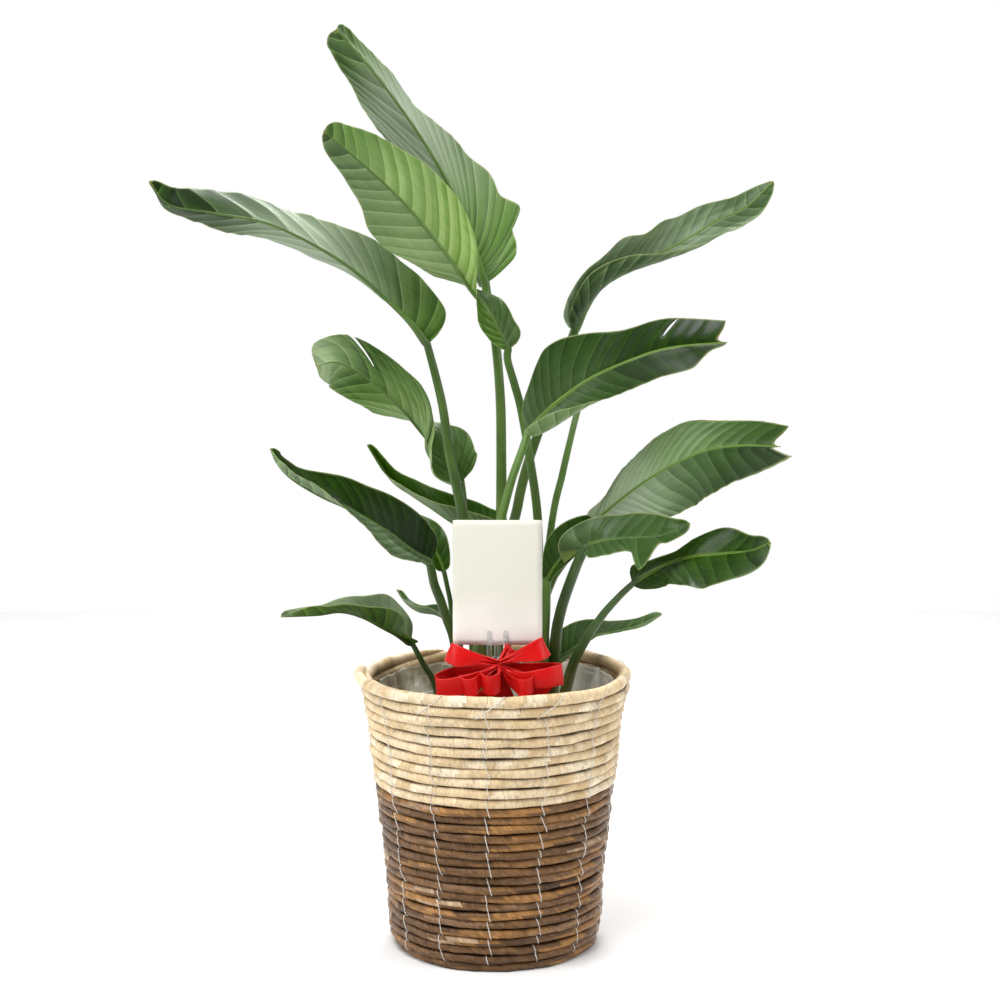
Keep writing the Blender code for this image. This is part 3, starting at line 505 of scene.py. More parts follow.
def basket_floor():
    turns = (floor_high.x - FLOOR_COIL) / (2 * FLOOR_COIL)
    share = np.sqrt(np.linspace(0.0004, 1, 900))
    size = FLOOR_COIL * np.clip(share * 12, 0.3, 1)
    spiral, turn = add_coil("basket_floor", 2 * pi * turns * share, 2 * FLOOR_COIL * turns * share,
                            np.full(len(share), FLOOR_COIL), size * 1.02, size, 10, brown_husk)
    # painted shade in the seams where each turn meets the next
    beside = np.clip((np.abs(np.cos(turn)) - 0.8) / 0.2, 0, 1)
    set_attributes(spiral, (len(share), len(turn)), gap=beside, inner=0.0)
    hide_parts("basket_base")
    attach(spiral, "root")


basket_floor()

# ---------------------------------------------------------------- basket: stitches
# White thread, 0.9 mm thick, sews each turn to its neighbours in 14 columns. A stitch slants down
# over one or two turns and goes back in between two of them. The first of each column leans the
# other way over the rim.
THREAD = 0.00046  # half its thickness as laid, a little proud
COLUMNS = 14
FIRST_COLUMN = -54  # degrees from the front


def thread_material():
    made, tree = new_material("white_thread")
    along, across = uv_place(tree)
    twist = maths(tree, "MULTIPLY_ADD", across, 900.0, maths(tree, "MULTIPLY", along, 2200.0))
    twist = maths(tree, "SINE", twist)
    colour = mix(tree, ease(tree, twist, -1, 1), rgb(196, 192, 182), rgb(244, 243, 238))
    normal = bump(tree, twist, 0.0001)
    finish_principled(tree, {"Base Color": colour, "Roughness": 0.5, "Normal": normal})
    return made


def thread_points(turn_numbers, degrees, lean):
    """A stitch over the given turns: in, over each one and back in, leaning by lean degrees a turn."""
    points = []
    last = len(turn_numbers) - 1
    for i, turn in enumerate(turn_numbers):
        share = (degrees + i * lean - END_ANGLE) / 360
        angle, radius, height, thick, tall = (value[0] for value in wall_coil(np.array([turn + share])))
        crest = radius + thick + 0.6 * THREAD
        if i == 0:
            points.append((angle - radians(lean) * 0.5, crest - 0.006, height + tall * 1.02))
            points.append((angle - radians(lean) * 0.42, crest - 0.0018, height + tall * 0.92))
        points.append((angle, crest, height))
        if i < last:
            points.append((angle + radians(lean) * 0.5, crest - 0.0005, height - tall))
    points.append((angle + radians(lean) * 0.42, crest - 0.0018, height - tall * 0.92))
    points.append((angle + radians(lean) * 0.5, crest - 0.006, height - tall * 1.02))
    angle, radius, height = np.array(points).T
    return round_about(angle, radius, height)


def add_stitches():
    random = np.random.default_rng(14)
    routes = []
    step_begins = END_ANGLE + 360 * STEP_FROM
    for column in range(COLUMNS):
        degrees = FIRST_COLUMN + column * 360 / COLUMNS
        degrees = (degrees - END_ANGLE) % 360 + END_ANGLE
        if degrees > step_begins - 4:
            degrees = step_begins - 6
        routes.append(thread_points([0, 1], degrees + 3.5, -6.0))
        turn = 1
        while turn < PALE_TURNS + BROWN_TURNS - 1:
            spans = 1 if random.random() < (0.6 if turn < PALE_TURNS else 0.25) else 2
            spans = min(spans, PALE_TURNS + BROWN_TURNS - 1 - turn)
            start = degrees + random.uniform(-0.7, 0.7) - 1.0
            routes.append(thread_points(range(turn, turn + spans), start, random.uniform(0.8, 1.8)))
            turn += spans
    pieces = []
    for number, route in enumerate(routes):
        path = smooth_curve(route, 3 * len(route))
        forward = unit(np.gradient(path, axis=0))
        outward = unit(path * (1, 1, 0))
        side = unit(np.cross(forward, outward))
        size = np.full(len(path), THREAD)
        pieces.append(sweep(f"stitch_{number}", path, side, np.cross(side, forward), size, size, 6, []))
    return joined("stitches", pieces, [thread_material()])


def unit(vectors):
    return vectors / np.linalg.norm(vectors, axis=-1, keepdims=True)


def curve_through(knots, count):
    """count points on the smooth curve through the knots, as many between each two."""
    ends = np.vstack([2 * knots[0] - knots[1], knots, 2 * knots[-1] - knots[-2]])
    t = np.linspace(0, len(knots) - 1, count)
    i = np.minimum(t.astype(int), len(knots) - 2)
    f = (t - i)[:, None]
    a, b, c, d = (ends[i + step] for step in range(4))
    return b + 0.5 * f * (c - a + f * (2 * a - 5 * b + 4 * c - d + f * (3 * b - a - 3 * c + d)))


def smooth_curve(points, steps):
    """steps + 1 points, evenly spaced, on the smooth curve through the given ones."""
    curve = curve_through(np.array(points, float), 40 * len(points))
    length = metres_along(curve)
    at = np.linspace(0, length[-1], steps + 1)
    return np.stack([np.interp(at, length, curve[:, axis]) for axis in range(3)], axis=1)


def joined(name, pieces, materials):
    """One object made of several."""
    with bpy.context.temp_override(active_object=pieces[0], object=pieces[0], selected_objects=pieces,
                                   selected_editable_objects=pieces):
        bpy.ops.object.join()
    whole = pieces[0]
    whole.name = name
    whole.data.name = name
    for material in materials:
        whole.data.materials.append(material)
    return whole


stitches = add_stitches()
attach(stitches, "root")

# ---------------------------------------------------------------- leaves
# Seventeen leathery paddles on long stalks. A blade is two halves that hinge on the rib, with
# fine side veins running out from it; it waves, tears between the veins and dries at its edges.
# The stalk runs on under the blade as its rib, up to the tip.
END_ROUNDING = 0.06  # share of the rib over which a blade's width rounds off at each end
BLADE_THICKNESS = 0.00045
ROW = 0.0022  # between the rows of points, which run with the veins too
OUT = np.array([0, 0.02, 0.05, 0.09, 0.15, 0.23, 0.33, 0.45, 0.58, 0.70, 0.80, 0.88, 0.94, 0.975, 1])


class Leaf(NamedTuple):
    """One leaf, shaped, in millimetres and degrees.

    rib: points from the stalk to the tip. face: the way the upper face looks. turn: how far the
    face turns about the rib, from the stalk to the tip. left and right: half widths from the
    stalk to the tip, left as seen from above the upper face. fold: how far each half is raised
    towards the upper face, and curl: how far it bends on from there to its margin. stalk: points
    from the blade down, and radii: the stalk's radius at the blade and at the soil. lobe_left:
    how far the left half hangs back beside the stalk.
    """

    rib: list
    face: tuple
    left: list
    right: list
    fold_left: list
    fold_right: list
    stalk: list
    radii: tuple
    turn: list = [0]
    curl_right: list = [0]
    lobe_left: float = 0.0


class Look(NamedTuple):
    """How one leaf's surface looks. Lists run from the stalk to the tip.

    upper and under: brightness of each face, from 0 to 1, which carries painted highlights and
    shade besides the leaf's own tone, and upper_grey and under_grey: how grey its bloom and
    painted sheen are. side_light and side_grey: what the left and the right half add to these.
    rib: how bright the rib is on the upper face. stalk: brightness of the stalk. pleat: depth of
    the folds along the veins. ruffle: height of the waves in the left and the right margin.
    tears: side (1 left, -1 right), place along the margin, where on the way out it starts, and
    how wide it gapes at the margin; a negative width gapes halfway out and closes at the margin.
    streak: how strong the painted stripes of light and shade along the left and the right half are.
    spacing: of the veins.
    sweep: how far a vein of the left and the right half runs towards the tip, as a share of the
    rib. fork: metres that the end of each half runs on past the tip of the rib, with a notch
    between, or 0 for a rounded end.
    """

    upper: list
    under: list
    upper_grey: list = [0.1]
    under_grey: list = [0.1]
    side_light: tuple = (0.0, 0.0)
    side_grey: tuple = (0.0, 0.0)
    rib: float = 0.8
    stalk: float = 0.3
    pleat: float = 0.0007
    ruffle: tuple = (0.0025, 0.0025)
    tears: list = []
    streak: tuple = (0.05, 0.05)
    spacing: float = 0.0135
    sweep: tuple = (0.16, 0.16)
    fork: tuple = (0.0, 0.0)


LEAVES = {
    "top_back": Leaf(
        rib=[(-10, 30, 720), (-30, 40, 781), (-50, 40, 826), (-72, 30, 864), (-101, 10, 906),
             (-131, -20, 943), (-162, -60, 976)],
        face=(0, 1, 0.3),
        left=[26, 40, 46, 50, 66, 50, 49, 50, 44, 41, 38, 37, 36, 36, 35, 33, 31, 28, 25, 22, 18],
        right=[20, 50, 46, 38, 36, 28, 20], fold_left=[-10, 25, 70, 80, 80],
        fold_right=[80, 70, 30, 20, 40],
        stalk=[(-6, 27, 693), (1, 24, 655), (6, 18, 594), (7, 12, 534), (7, 6, 467), (6, 2, 390),
               (5, -1, 310), (4, -4, 238)], radii=(4.8, 6.8)),
    "top_front": Leaf(
        rib=[(15, -10, 649), (4, -15, 670), (-7, -20, 691), (-26, -25, 715), (-57, -40, 757),
             (-93, -60, 800), (-127, -80, 832), (-170, -120, 868)],
        face=(0.2, -1, 0.2), turn=[0, 0, -90, -165, -180, -180, -180, -180, -180],
        left=[10, 19, 18, 46, 56, 46, 34, 17], right=[22, 20, 18, 34, 49, 34, 20, 10],
        fold_left=[15], fold_right=[15],
        stalk=[(14, -10, 638), (21, -9, 612), (28, -8, 586), (38, -7, 530), (46, -6, 471),
               (48, -4, 400), (51, -3, 320), (52, -2, 238)], radii=(4.2, 5.8)),
    "left_long": Leaf(
        rib=[(-72, -15, 654), (-90, -20, 678), (-116, -30, 703), (-150, -55, 734), (-189, -80, 759),
             (-231, -110, 778), (-277, -140, 786), (-317, -165, 793), (-334, -175, 815)],
        face=(0, 1, -0.2), left=[36, 40, 44, 46, 46, 45, 42, 37, 40, 34, 26, 18, 10],
        right=[36, 44, 46, 44, 36, 22, 10], fold_left=[0, 20, 50, 25, -10],
        fold_right=[115, 108, 88, 84, 82, 85],
        stalk=[(-62, -16, 617), (-55, -17, 585), (-49, -18, 542), (-40, -19, 499), (-34, -20, 470),
               (-25, -21, 410), (-14, -22, 330), (-8, -22, 238)], radii=(4.2, 7.8)),
    "left_split": Leaf(
        rib=[(-36, 35, 504), (-49, 34, 517), (-63, 32, 537), (-78, 30, 556), (-100, 20, 582),
             (-126, 0, 609), (-149, -20, 627), (-168, -35, 636), (-187, -45, 632)],
        face=(0, -1, 0.3), turn=[0, 0, -50, -130, -170, -180, -180, -180, -180],
        left=[40, 38, 24, 34, 36, 36, 26], right=[42, 40, 26, 30, 31, 30, 22],
        fold_left=[80, 45, 5, 15, 20], fold_right=[50, 25, 40, 35, 40],
        stalk=[(-34, 32, 486), (-33, 29, 465), (-29, 20, 400), (-24, 12, 320), (-22, 4, 238)],
        radii=(3, 5)),
    "left_low": Leaf(
        rib=[(-68, -40, 425), (-90, -50, 441), (-114, -60, 461), (-151, -80, 486), (-179, -95, 501),
             (-206, -115, 520), (-220, -125, 537), (-226, -130, 552)],
        face=(0, -0.8, 0.6), turn=[0, 0, 0, -10, -25, -35, -35, -30],
        left=[24, 33, 33, 29, 24, 20, 9], right=[24, 33, 33, 29, 24, 20, 9],
        fold_left=[60, 35, 30, 50, 85], fold_right=[30, 30, 35, 30, 5],
        stalk=[(-65, -37, 402), (-58, -34, 382), (-51, -31, 360), (-44, -27, 338), (-36, -20, 285),
               (-33, -18, 238)], radii=(4.8, 6)),
    "left_inner": Leaf(
        rib=[(-55, 0, 408), (-62, 5, 425), (-73, 10, 441), (-87, 20, 453), (-104, 30, 462)],
        face=(0.2, -1, 0.3), left=[8, 15, 20, 20, 16, 10], right=[8, 15, 20, 20, 16, 10],
        fold_left=[30, 25, 25, 10, 0], fold_right=[45, 35, 20, 5, 0],
        stalk=[(-52, 0, 393), (-48, 1, 371), (-44, 2, 325), (-40, 4, 238)], radii=(2.6, 3.6)),
    "left_narrow": Leaf(
        rib=[(11, 50, 436), (-19, 65, 441), (-48, 80, 454), (-71, 90, 468), (-94, 105, 481),
             (-120, 120, 498), (-147, 135, 537)],
        face=(0, -0.5, 1), left=[30, 33, 30, 21, 17, 14, 6], right=[30, 33, 30, 21, 17, 14, 6],
        fold_left=[75, 80, 65, 65, 60], fold_right=[30, 55, 70, 75, 85],
        stalk=[(15, 45, 392), (12, 34, 238)], radii=(3.5, 5)),
    "left_arching": Leaf(
        rib=[(-89, -50, 339), (-97, -60, 347), (-115, -75, 359), (-136, -100, 375),
             (-157, -120, 384), (-179, -140, 384), (-213, -165, 386)],
        face=(0, -0.4, 1), turn=[0, 0, 0, 0, -40, -60, -40], left=[12, 26, 32, 20, 12, 13, 7],
        right=[12, 26, 32, 20, 12, 13, 7], fold_left=[10, 30, 50, 15, 0],
        fold_right=[80, 80, 75, 80, 80],
        stalk=[(-88, -50, 339), (-76, -46, 315), (-65, -42, 295), (-58, -36, 262), (-52, -34, 238)],
        radii=(2.8, 4.2)),
    "left_small": Leaf(
        rib=[(-48, 50, 344), (-66, 65, 351), (-87, 85, 351), (-103, 105, 358), (-113, 120, 370)],
        face=(0, -0.5, 1), left=[10, 11, 10, 8, 5], right=[10, 11, 10, 8, 5],
        fold_left=[60, 70, 80, 80, 75], fold_right=[65, 45, 20, 0, 0],
        stalk=[(-37, 40, 314), (-30, 26, 238)], radii=(2.5, 3.5)),
    "right_high": Leaf(
        rib=[(87, 50, 668), (98, 45, 692), (115, 45, 715), (139, 45, 733), (172, 50, 749),
             (209, 60, 767), (243, 70, 788), (278, 85, 804), (311, 100, 834)],
        face=(0, -1, 0.5), left=[16, 28, 34, 30, 34, 29, 31, 28, 26, 24, 19, 14, 6],
        right=[16, 34, 32, 29, 26, 19, 6], fold_left=[55, 55, 30, 0, -15],
        fold_right=[80, 50, 5, -10, -15], curl_right=[90, 110, 90, 50, 20],
        stalk=[(46, 38, 552), (35, 34, 519), (28, 32, 492), (22, 29, 464), (5, 23, 410),
               (-5, 20, 330), (-9, 18, 238)], radii=(5, 6.2)),
    "right_middle": Leaf(
        rib=[(35, -40, 564), (53, -50, 584), (74, -55, 602), (101, -60, 621), (140, -70, 639),
             (180, -80, 652), (238, -90, 658)],
        face=(0, -1, 0.5), left=[15, 32, 51, 46, 34, 33, 30, 24],
        right=[30, 50, 60, 58, 54, 49, 45, 41, 38, 37, 36, 35, 31, 10, 5],
        fold_left=[15, 8, 4, 8, 10], fold_right=[0, -5, -5, 0, 10, 15, 15],
        curl_right=[150, 140, 95, 40, 15, 5, 0],
        stalk=[(28, -41, 541), (18, -41, 512), (7, -42, 472), (-9, -44, 410), (-18, -46, 330),
               (-22, -46, 238)], radii=(4.2, 6.2)),
    "back": Leaf(
        rib=[(95, 82, 590), (101, 105, 610), (110, 140, 624), (123, 185, 630), (138, 235, 628)],
        face=(0, -0.3, 1), left=[10, 18, 22, 22, 18, 9], right=[10, 18, 22, 22, 18, 9],
        fold_left=[25], fold_right=[40],
        stalk=[(86, 65, 556), (75, 51, 511), (61, 35, 444), (40, 12, 238)], radii=(3.6, 4.8)),
    "right_wide": Leaf(
        rib=[(102, -20, 460), (114, -30, 473), (148, -50, 504), (182, -80, 530), (215, -105, 548),
             (247, -130, 555), (284, -160, 556)],
        face=(0, -1, 0.6), left=[14, 14, 27, 35, 37, 31, 27, 22],
        right=[18, 40, 57, 60, 64, 64, 46, 10], fold_left=[15, 8, 2, 0, 0],
        fold_right=[25, 18, 12, 9, 10],
        stalk=[(70, -9, 414), (62, -2, 399), (54, 9, 370), (55, 11, 330), (60, 10, 238)],
        radii=(4.5, 5.5)),
    "right_front": Leaf(
        rib=[(92, -70, 442), (99, -76, 448), (114, -88, 454), (139, -107, 459), (164, -124, 462),
             (183, -135, 469), (197, -140, 477)],
        face=(0, -1, 0.6), left=[22, 26, 26, 28, 26, 17, 6],
        right=[10, 16, 20, 22, 22, 22, 20, 19, 20, 28, 44, 13, 11, 9, 7, 5],
        fold_left=[15, 15, 10, 5, 5], fold_right=[15, 15, 15, 14, 10], lobe_left=30,
        stalk=[(76, -53, 394), (69, -43, 367), (65, -34, 339), (63, -14, 280), (64, -10, 238)],
        radii=(5.5, 6.8)),
    "right_inner": Leaf(
        rib=[(55, -30, 403), (62, -36, 417), (72, -42, 431), (89, -46, 449), (110, -48, 466)],
        face=(0, -1, 0.4), left=[8, 14, 24, 26, 22, 14], right=[6, 8, 12, 14, 13, 10],
        fold_left=[15], fold_right=[30],
        stalk=[(55, -30, 382), (54, -30, 349), (48, -26, 238)], radii=(4.8, 5.2)),
    "right_low": Leaf(
        rib=[(143, -90, 409), (160, -100, 421), (180, -110, 433), (203, -130, 443),
             (228, -150, 448), (252, -175, 454), (271, -190, 464)],
        face=(0, -1, 0.6), left=[19, 12, 10, 20, 27, 18, 8], right=[8, 22, 33, 45, 47, 31, 8],
        fold_left=[15, 20, 20, 10, 5], fold_right=[15, 20, 20, 10, 5],
        stalk=[(128, -83, 392), (113, -76, 373), (96, -65, 345), (84, -55, 319), (78, -46, 296),
               (70, -32, 258), (69, -32, 238)], radii=(3.2, 7.5)),
    "right_lowest": Leaf(
        rib=[(69, 50, 301), (87, 65, 310), (111, 85, 322), (137, 105, 324), (168, 125, 328),
             (194, 145, 339)],
        face=(0, -0.6, 1), left=[32, 28, 18, 12, 10, 6], right=[32, 28, 18, 12, 10, 6],
        fold_left=[70, 50, 35, 20, 0], fold_right=[55, 45, 30, 25, 30],
        stalk=[(52, 30, 238)], radii=(4, 4.5)),
}

# each leaf's brightness and grey lists hold painted highlights, shade and sheen as well as its own tone
LOOKS = {
    "top_back": Look([0.35], [0.42, 0.46, 0.52, 0.62, 0.68, 0.7, 0.68, 0.58, 0.4, 0.36],
                     under_grey=[0.0, 0.0, 0.15, 0.5, 0.9, 1.0, 1.0, 0.7, 0.0, 0.0],
                     side_light=(0.06, -0.02), side_grey=(0.1, 0.2), stalk=0.38, pleat=0.0009,
                     ruffle=(0.006, 0.003), streak=(0.0, 0.14), sweep=(0.24, 0.5)),
    "top_front": Look([0.46], [0.66, 0.8, 0.8, 0.64, 0.38], under_grey=[0.0, 0.05, 0.1, 0.2, 0.2],
                      side_light=(0.04, -0.03), side_grey=(-0.1, 0.25), stalk=0.36, pleat=0.0014,
                      ruffle=(0.003, 0.005), spacing=0.0155),
    "left_long": Look([0.3], [0.5, 0.56, 0.68, 0.66, 0.4, 0.14, 0.08],
                      under_grey=[0.0, 0.3, 0.9, 1.0, 0.8, 0.3, 0.1], stalk=0.28, pleat=0.0016,
                      ruffle=(0.004, 0.0045), spacing=0.025),
    "left_split": Look([0.54], [0.66, 0.72, 0.68, 0.46, 0.88], [0.3], [0.4, 0.3, 0.2, 0.2, 0.8],
                       side_light=(0.02, -0.02), stalk=0.34, ruffle=(0.0025, 0.003),
                       tears=[(1, 0.84, 0.45, 0.007)], streak=(0.12, 0.1), sweep=(0.42, 0.26)),
    "left_low": Look([0.04, 0.08, 0.12, 0.12], [0.14], [0.0], [-0.4], side_light=(0.34, 0.0),
                     side_grey=(0.8, 0.0), rib=0.3, stalk=0.26, ruffle=(0.003, 0.0055),
                     streak=(0.25, 0.08)),
    "left_inner": Look([0.22], [0.4], [0.0], stalk=0.26),
    "left_narrow": Look([0.28], [0.46], [0.0], streak=(0.1, 0.1)),
    "left_arching": Look([0.62, 0.66, 0.58, 0.36], [0.18, 0.18, 0.36], [0.9], [0.0], stalk=0.1),
    "left_small": Look([0.3], [0.36], stalk=0.17),
    "right_high": Look([0.62, 0.58, 0.5, 0.32], [0.24, 0.36, 0.42], [0.9, 1.0, 0.8, 0.5],
                       [0.4, 0.5, 0.4], rib=1.0, ruffle=(0.0045, 0.004), streak=(0.08, 0.16),
                       spacing=0.015),
    "right_middle": Look([0.4, 0.2, 0.07, 0.02], [0.66], [0.7, 0.5, 0.1, 0.0], [0.4], rib=1.0,
                         stalk=0.5, ruffle=(0.003, 0.003), tears=[(1, 0.8, 0.4, -0.003)],
                         spacing=0.015, fork=(0.001, 0.0)),
    "back": Look([0.3], [0.45], stalk=0.4),
    "right_wide": Look([0.84, 0.74, 0.48, 0.28, 0.12], [0.5], [1.0, 0.9, 0.4, 0.2, 0.0],
                       side_light=(0.1, -0.1), side_grey=(0.1, 0.3), rib=1.0, stalk=0.38,
                       pleat=0.0012, ruffle=(0.003, 0.0045), spacing=0.0115, sweep=(0.24, 0.26),
                       fork=(0.004, 0.017)),
    "right_front": Look([0.36, 0.3, 0.22], [0.44], [0.4, 0.3, 0.1], stalk=0.18),
    "right_inner": Look([0.24], [0.4], stalk=0.45),
    "right_low": Look([0.12, 0.18, 0.14], [0.4], rib=1.0, stalk=0.18, pleat=0.0003,
                      ruffle=(0.001, 0.0015), sweep=(0.22, 0.24)),
    "right_lowest": Look([0.38], [0.44], [0.3]),
}


def smooth_values(values, at):
    """The values, spaced evenly from 0 to 1, read smoothly at the given places."""
    if len(values) == 1:
        return np.full(np.shape(at), float(values[0]))
    # made nearly flat, so that even steps along the curve are even steps along its places
    flat = 1e-3
    knots = np.stack([np.linspace(0, 1, len(values)), values, np.zeros(len(values))], axis=1)
    curve = smooth_curve(knots * (1, flat, 1), 200)
    return np.interp(at, curve[:, 0], curve[:, 1] / flat)


def rib_frame(leaf):
    """101 points along the rib, with the ways forward and up at each."""
    rib = smooth_curve(leaf.rib, 100)
    forward = unit(np.gradient(rib, axis=0))
    face = np.array(leaf.face, float)
    up = unit(face - (forward @ face)[:, None] * forward)
    turn = np.radians(smooth_values(leaf.turn, np.linspace(0, 1, 101)))[:, None]
    return rib, forward, up * np.cos(turn) + np.cross(up, forward) * np.sin(turn)


def in_metres(leaf):
    """The same leaf, with its lengths in metres."""
    lengths = ("rib", "left", "right", "stalk", "radii", "lobe_left")
    return leaf._replace(**{key: np.array(getattr(leaf, key)) / 1000 for key in lengths})


def half_blade(leaf, look, side, margin, length, seed):
    """Half a blade, in rows along the veins, and what the shader needs to know at each point.

    side: 1 left, -1 right. margin: where on the rib, from 0 to 1, each row's outer end lies.
    length: of the rib. Returns the points, their metres along the rib, out from it and in from
    the margin, their place among the veins, the brightness of both faces with its painted
    highlights and shade, their bloom and painted sheen, and the strength of the painted stripes
    of light and shade.
    """
    index = 0 if side > 0 else 1
    rib, forward, up = rib_frame(leaf)
    left = np.cross(up, forward)
    # each row starts on the rib nearer the stalk than where it ends, as a vein does
    start = margin - 4 * look.sweep[index] * margin * (1 - margin)
    along = start[:, None] + (margin - start)[:, None] * OUT**1.25
    half_width = smooth_values(leaf.left if side > 0 else leaf.right, margin)
    half_width *= np.sqrt(1 - np.clip(1 - margin / END_ROUNDING, 0, 1) ** 2)
    half_width *= 1 + 13 * look.ruffle[index] * wander(margin * length, 0.026, seed + 6)
    if not look.fork[index]:
        half_width *= np.sqrt(1 - np.clip(1 - (1 - margin) / END_ROUNDING, 0, 1) ** 2)
    half_width = half_width[:, None]
    fold = np.radians(smooth_values(leaf.fold_left if side > 0 else leaf.fold_right, margin))[:, None]
    curl = np.radians(smooth_values([0] if side > 0 else leaf.curl_right, margin))[:, None]
    angle = fold * eased(OUT * half_width, -0.002, 0.004) + curl * OUT
    step = np.diff(OUT) * half_width
    middle = (angle[:, 1:] + angle[:, :-1]) / 2
    none = np.zeros((len(margin), 1))
    sideways = side * np.hstack([none, np.cumsum(np.cos(middle) * step, axis=1)])
    rise = np.hstack([none, np.cumsum(np.sin(middle) * step, axis=1)])
    lobe = (leaf.lobe_left if side > 0 else 0) * np.exp(-((margin[:, None] / 0.12) ** 2)) * OUT

    def here(vectors):
        stations = np.linspace(0, 1, 101)
        return np.stack([np.interp(along, stations, vectors[:, axis]) for axis in range(3)], axis=-1)

    points = here(rib) + sideways[..., None] * here(left) + rise[..., None] * here(up)
    points -= lobe[..., None] * here(forward)
    if look.fork[index]:
        to_tip = 1 - margin[:, None]
        horn = look.fork[index] * np.exp(-((to_tip / 0.15) ** 2)) * OUT**2
        notch = 0.009 * np.exp(-((to_tip / 0.12) ** 2)) * OUT / 0.2 * np.exp(1 - OUT / 0.2)
        points += (horn - notch)[..., None] * here(forward)
    normals = np.cos(angle)[..., None] * here(up) - side * np.sin(angle)[..., None] * here(left)

    u = np.repeat((margin * length)[:, None], len(OUT), axis=1)
    fold_at, lift = surface_relief(look, index, u, half_width, seed)
    points += lift[..., None] * unit(normals)
    points += gape(look, side, len(margin))[..., None] * here(forward)
    tones = [smooth_values(values, along) + added[index] for values, added in (
        (look.upper, look.side_light), (look.upper_grey, look.side_grey),
        (look.under, look.side_light), (look.under_grey, look.side_grey))]
    streak = np.full(points.shape[:2], look.streak[index])
    edge = half_width * (1 - OUT)
    if look.fork[index]:
        edge = np.minimum(edge, (1 - margin[:, None]) * length)
    return points, u, side * OUT * half_width, edge, fold_at, *tones, streak


def surface_relief(look, index, u, half_width, seed):
    """Each point's place among the veins, and how far it stands out: pleats, waves and ruffles."""
    fold_at = u / look.spacing + 0.45 * wander(u, 0.045, seed)
    within = fold_at - np.floor(fold_at)
    depth = np.random.default_rng(seed).uniform(0.2, 1.0, 200)[np.floor(fold_at).astype(int) + 9]
    pleat = depth * np.minimum(eased(within, -0.2, 0.8), 1 - eased(within, 0.78, 1.0))
    ruffle = 0.5 * wander(u, 0.024, seed + 1) + wander(u, 0.060, seed + 2)
    out = OUT * half_width
    lift = look.pleat * pleat * eased(OUT, 0.0, 0.15)
    lift += look.ruffle[index] * ruffle * OUT**2
    lift += 0.0010 * wander(u + 0.7 * out, 0.040, seed + 3) * eased(OUT, 0.0, 0.4)
    lift += 0.0022 * wander(u - 0.5 * out, 0.090, seed + 4) * eased(OUT, 0.0, 0.5)
    return fold_at, lift * np.clip(half_width / 0.02, 0, 1)


def gape(look, side, count):
    """How far each point of count rows is pushed towards the tip by the tears in this half."""
    pushed = np.zeros((count, len(OUT)))
    for torn_side, place, from_out, gap in look.tears:
        if torn_side == side:
            share = np.clip((OUT - from_out) / (1 - from_out), 0, 1)
            apart = (gap * share if gap > 0 else -gap * np.sin(pi * share)) - ROW
            apart = apart / 2 * (OUT >= from_out)
            rows = np.arange(count) - int(place * (count - 1)) - 0.5
            pushed += (np.sign(rows) * np.exp(-(np.abs(rows) - 0.5) / 9))[:, None] * apart
    return pushed


def add_blade(name, leaf, look, number):
    length = metres_along(smooth_curve(leaf.rib, 100))[-1]
    rows = int(length / ROW)
    margin = np.linspace(0, 1, rows + 1)
    left = half_blade(leaf, look, 1, margin, length, 10 * number)
    right = half_blade(leaf, look, -1, margin, length, 10 * number + 5)
    both = [np.concatenate([a[:, :0:-1], b], axis=1) for a, b in zip(left, right)]
    points, u, v, edge, fold_at, upper_shade, upper_grey, under_shade, under_grey, streak = both
    across = points.shape[1]
    middle = len(OUT) - 1
    torn = np.zeros((rows, across - 1), bool)
    for side, place, from_out, _ in look.tears:
        columns = np.arange(across - 1)
        out_index = middle - 1 - columns if side > 0 else columns - middle
        beyond = (out_index >= 0) & (OUT[np.clip(out_index, 0, middle)] >= from_out)
        torn[int(place * rows), beyond] = True
    quads = grid_faces(rows + 1, across)[0][~torn.ravel()]
    blade = add_mesh(name, points.reshape(-1, 3), quads, [leaf_upper, leaf_under, leaf_edge])
    store_uv(blade, np.stack([u.ravel() + number, v.ravel()], axis=-1)[quads.ravel()])
    rib_half = (0.0021 if look.rib < 1 else 0.0030) * (1 - 0.7 * u / length)
    dry_margin = (1 - eased(edge, 0.0, 0.002)) * (wander(u, 0.02, number) > 0.8)
    set_attributes(
        blade, u.shape, rib_line=look.rib * (1 - eased(np.abs(v), 0.5 * rib_half, rib_half)),
        edge_line=1 - eased(edge, 0.0003, 0.0012), dry=eased(u / length, 0.985, 1.0) + dry_margin,
        fold_at=fold_at + 40 * number, upper_shade=upper_shade, upper_grey=upper_grey,
        under_shade=under_shade, under_grey=under_grey, streak=streak)
    solid = blade.modifiers.new("thickness", "SOLIDIFY")
    solid.thickness = BLADE_THICKNESS
    solid.offset = -1
    solid.material_offset = 1
    solid.material_offset_rim = 2
    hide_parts("blade_" + name[len("leaf_"):])
    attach(blade, "root")


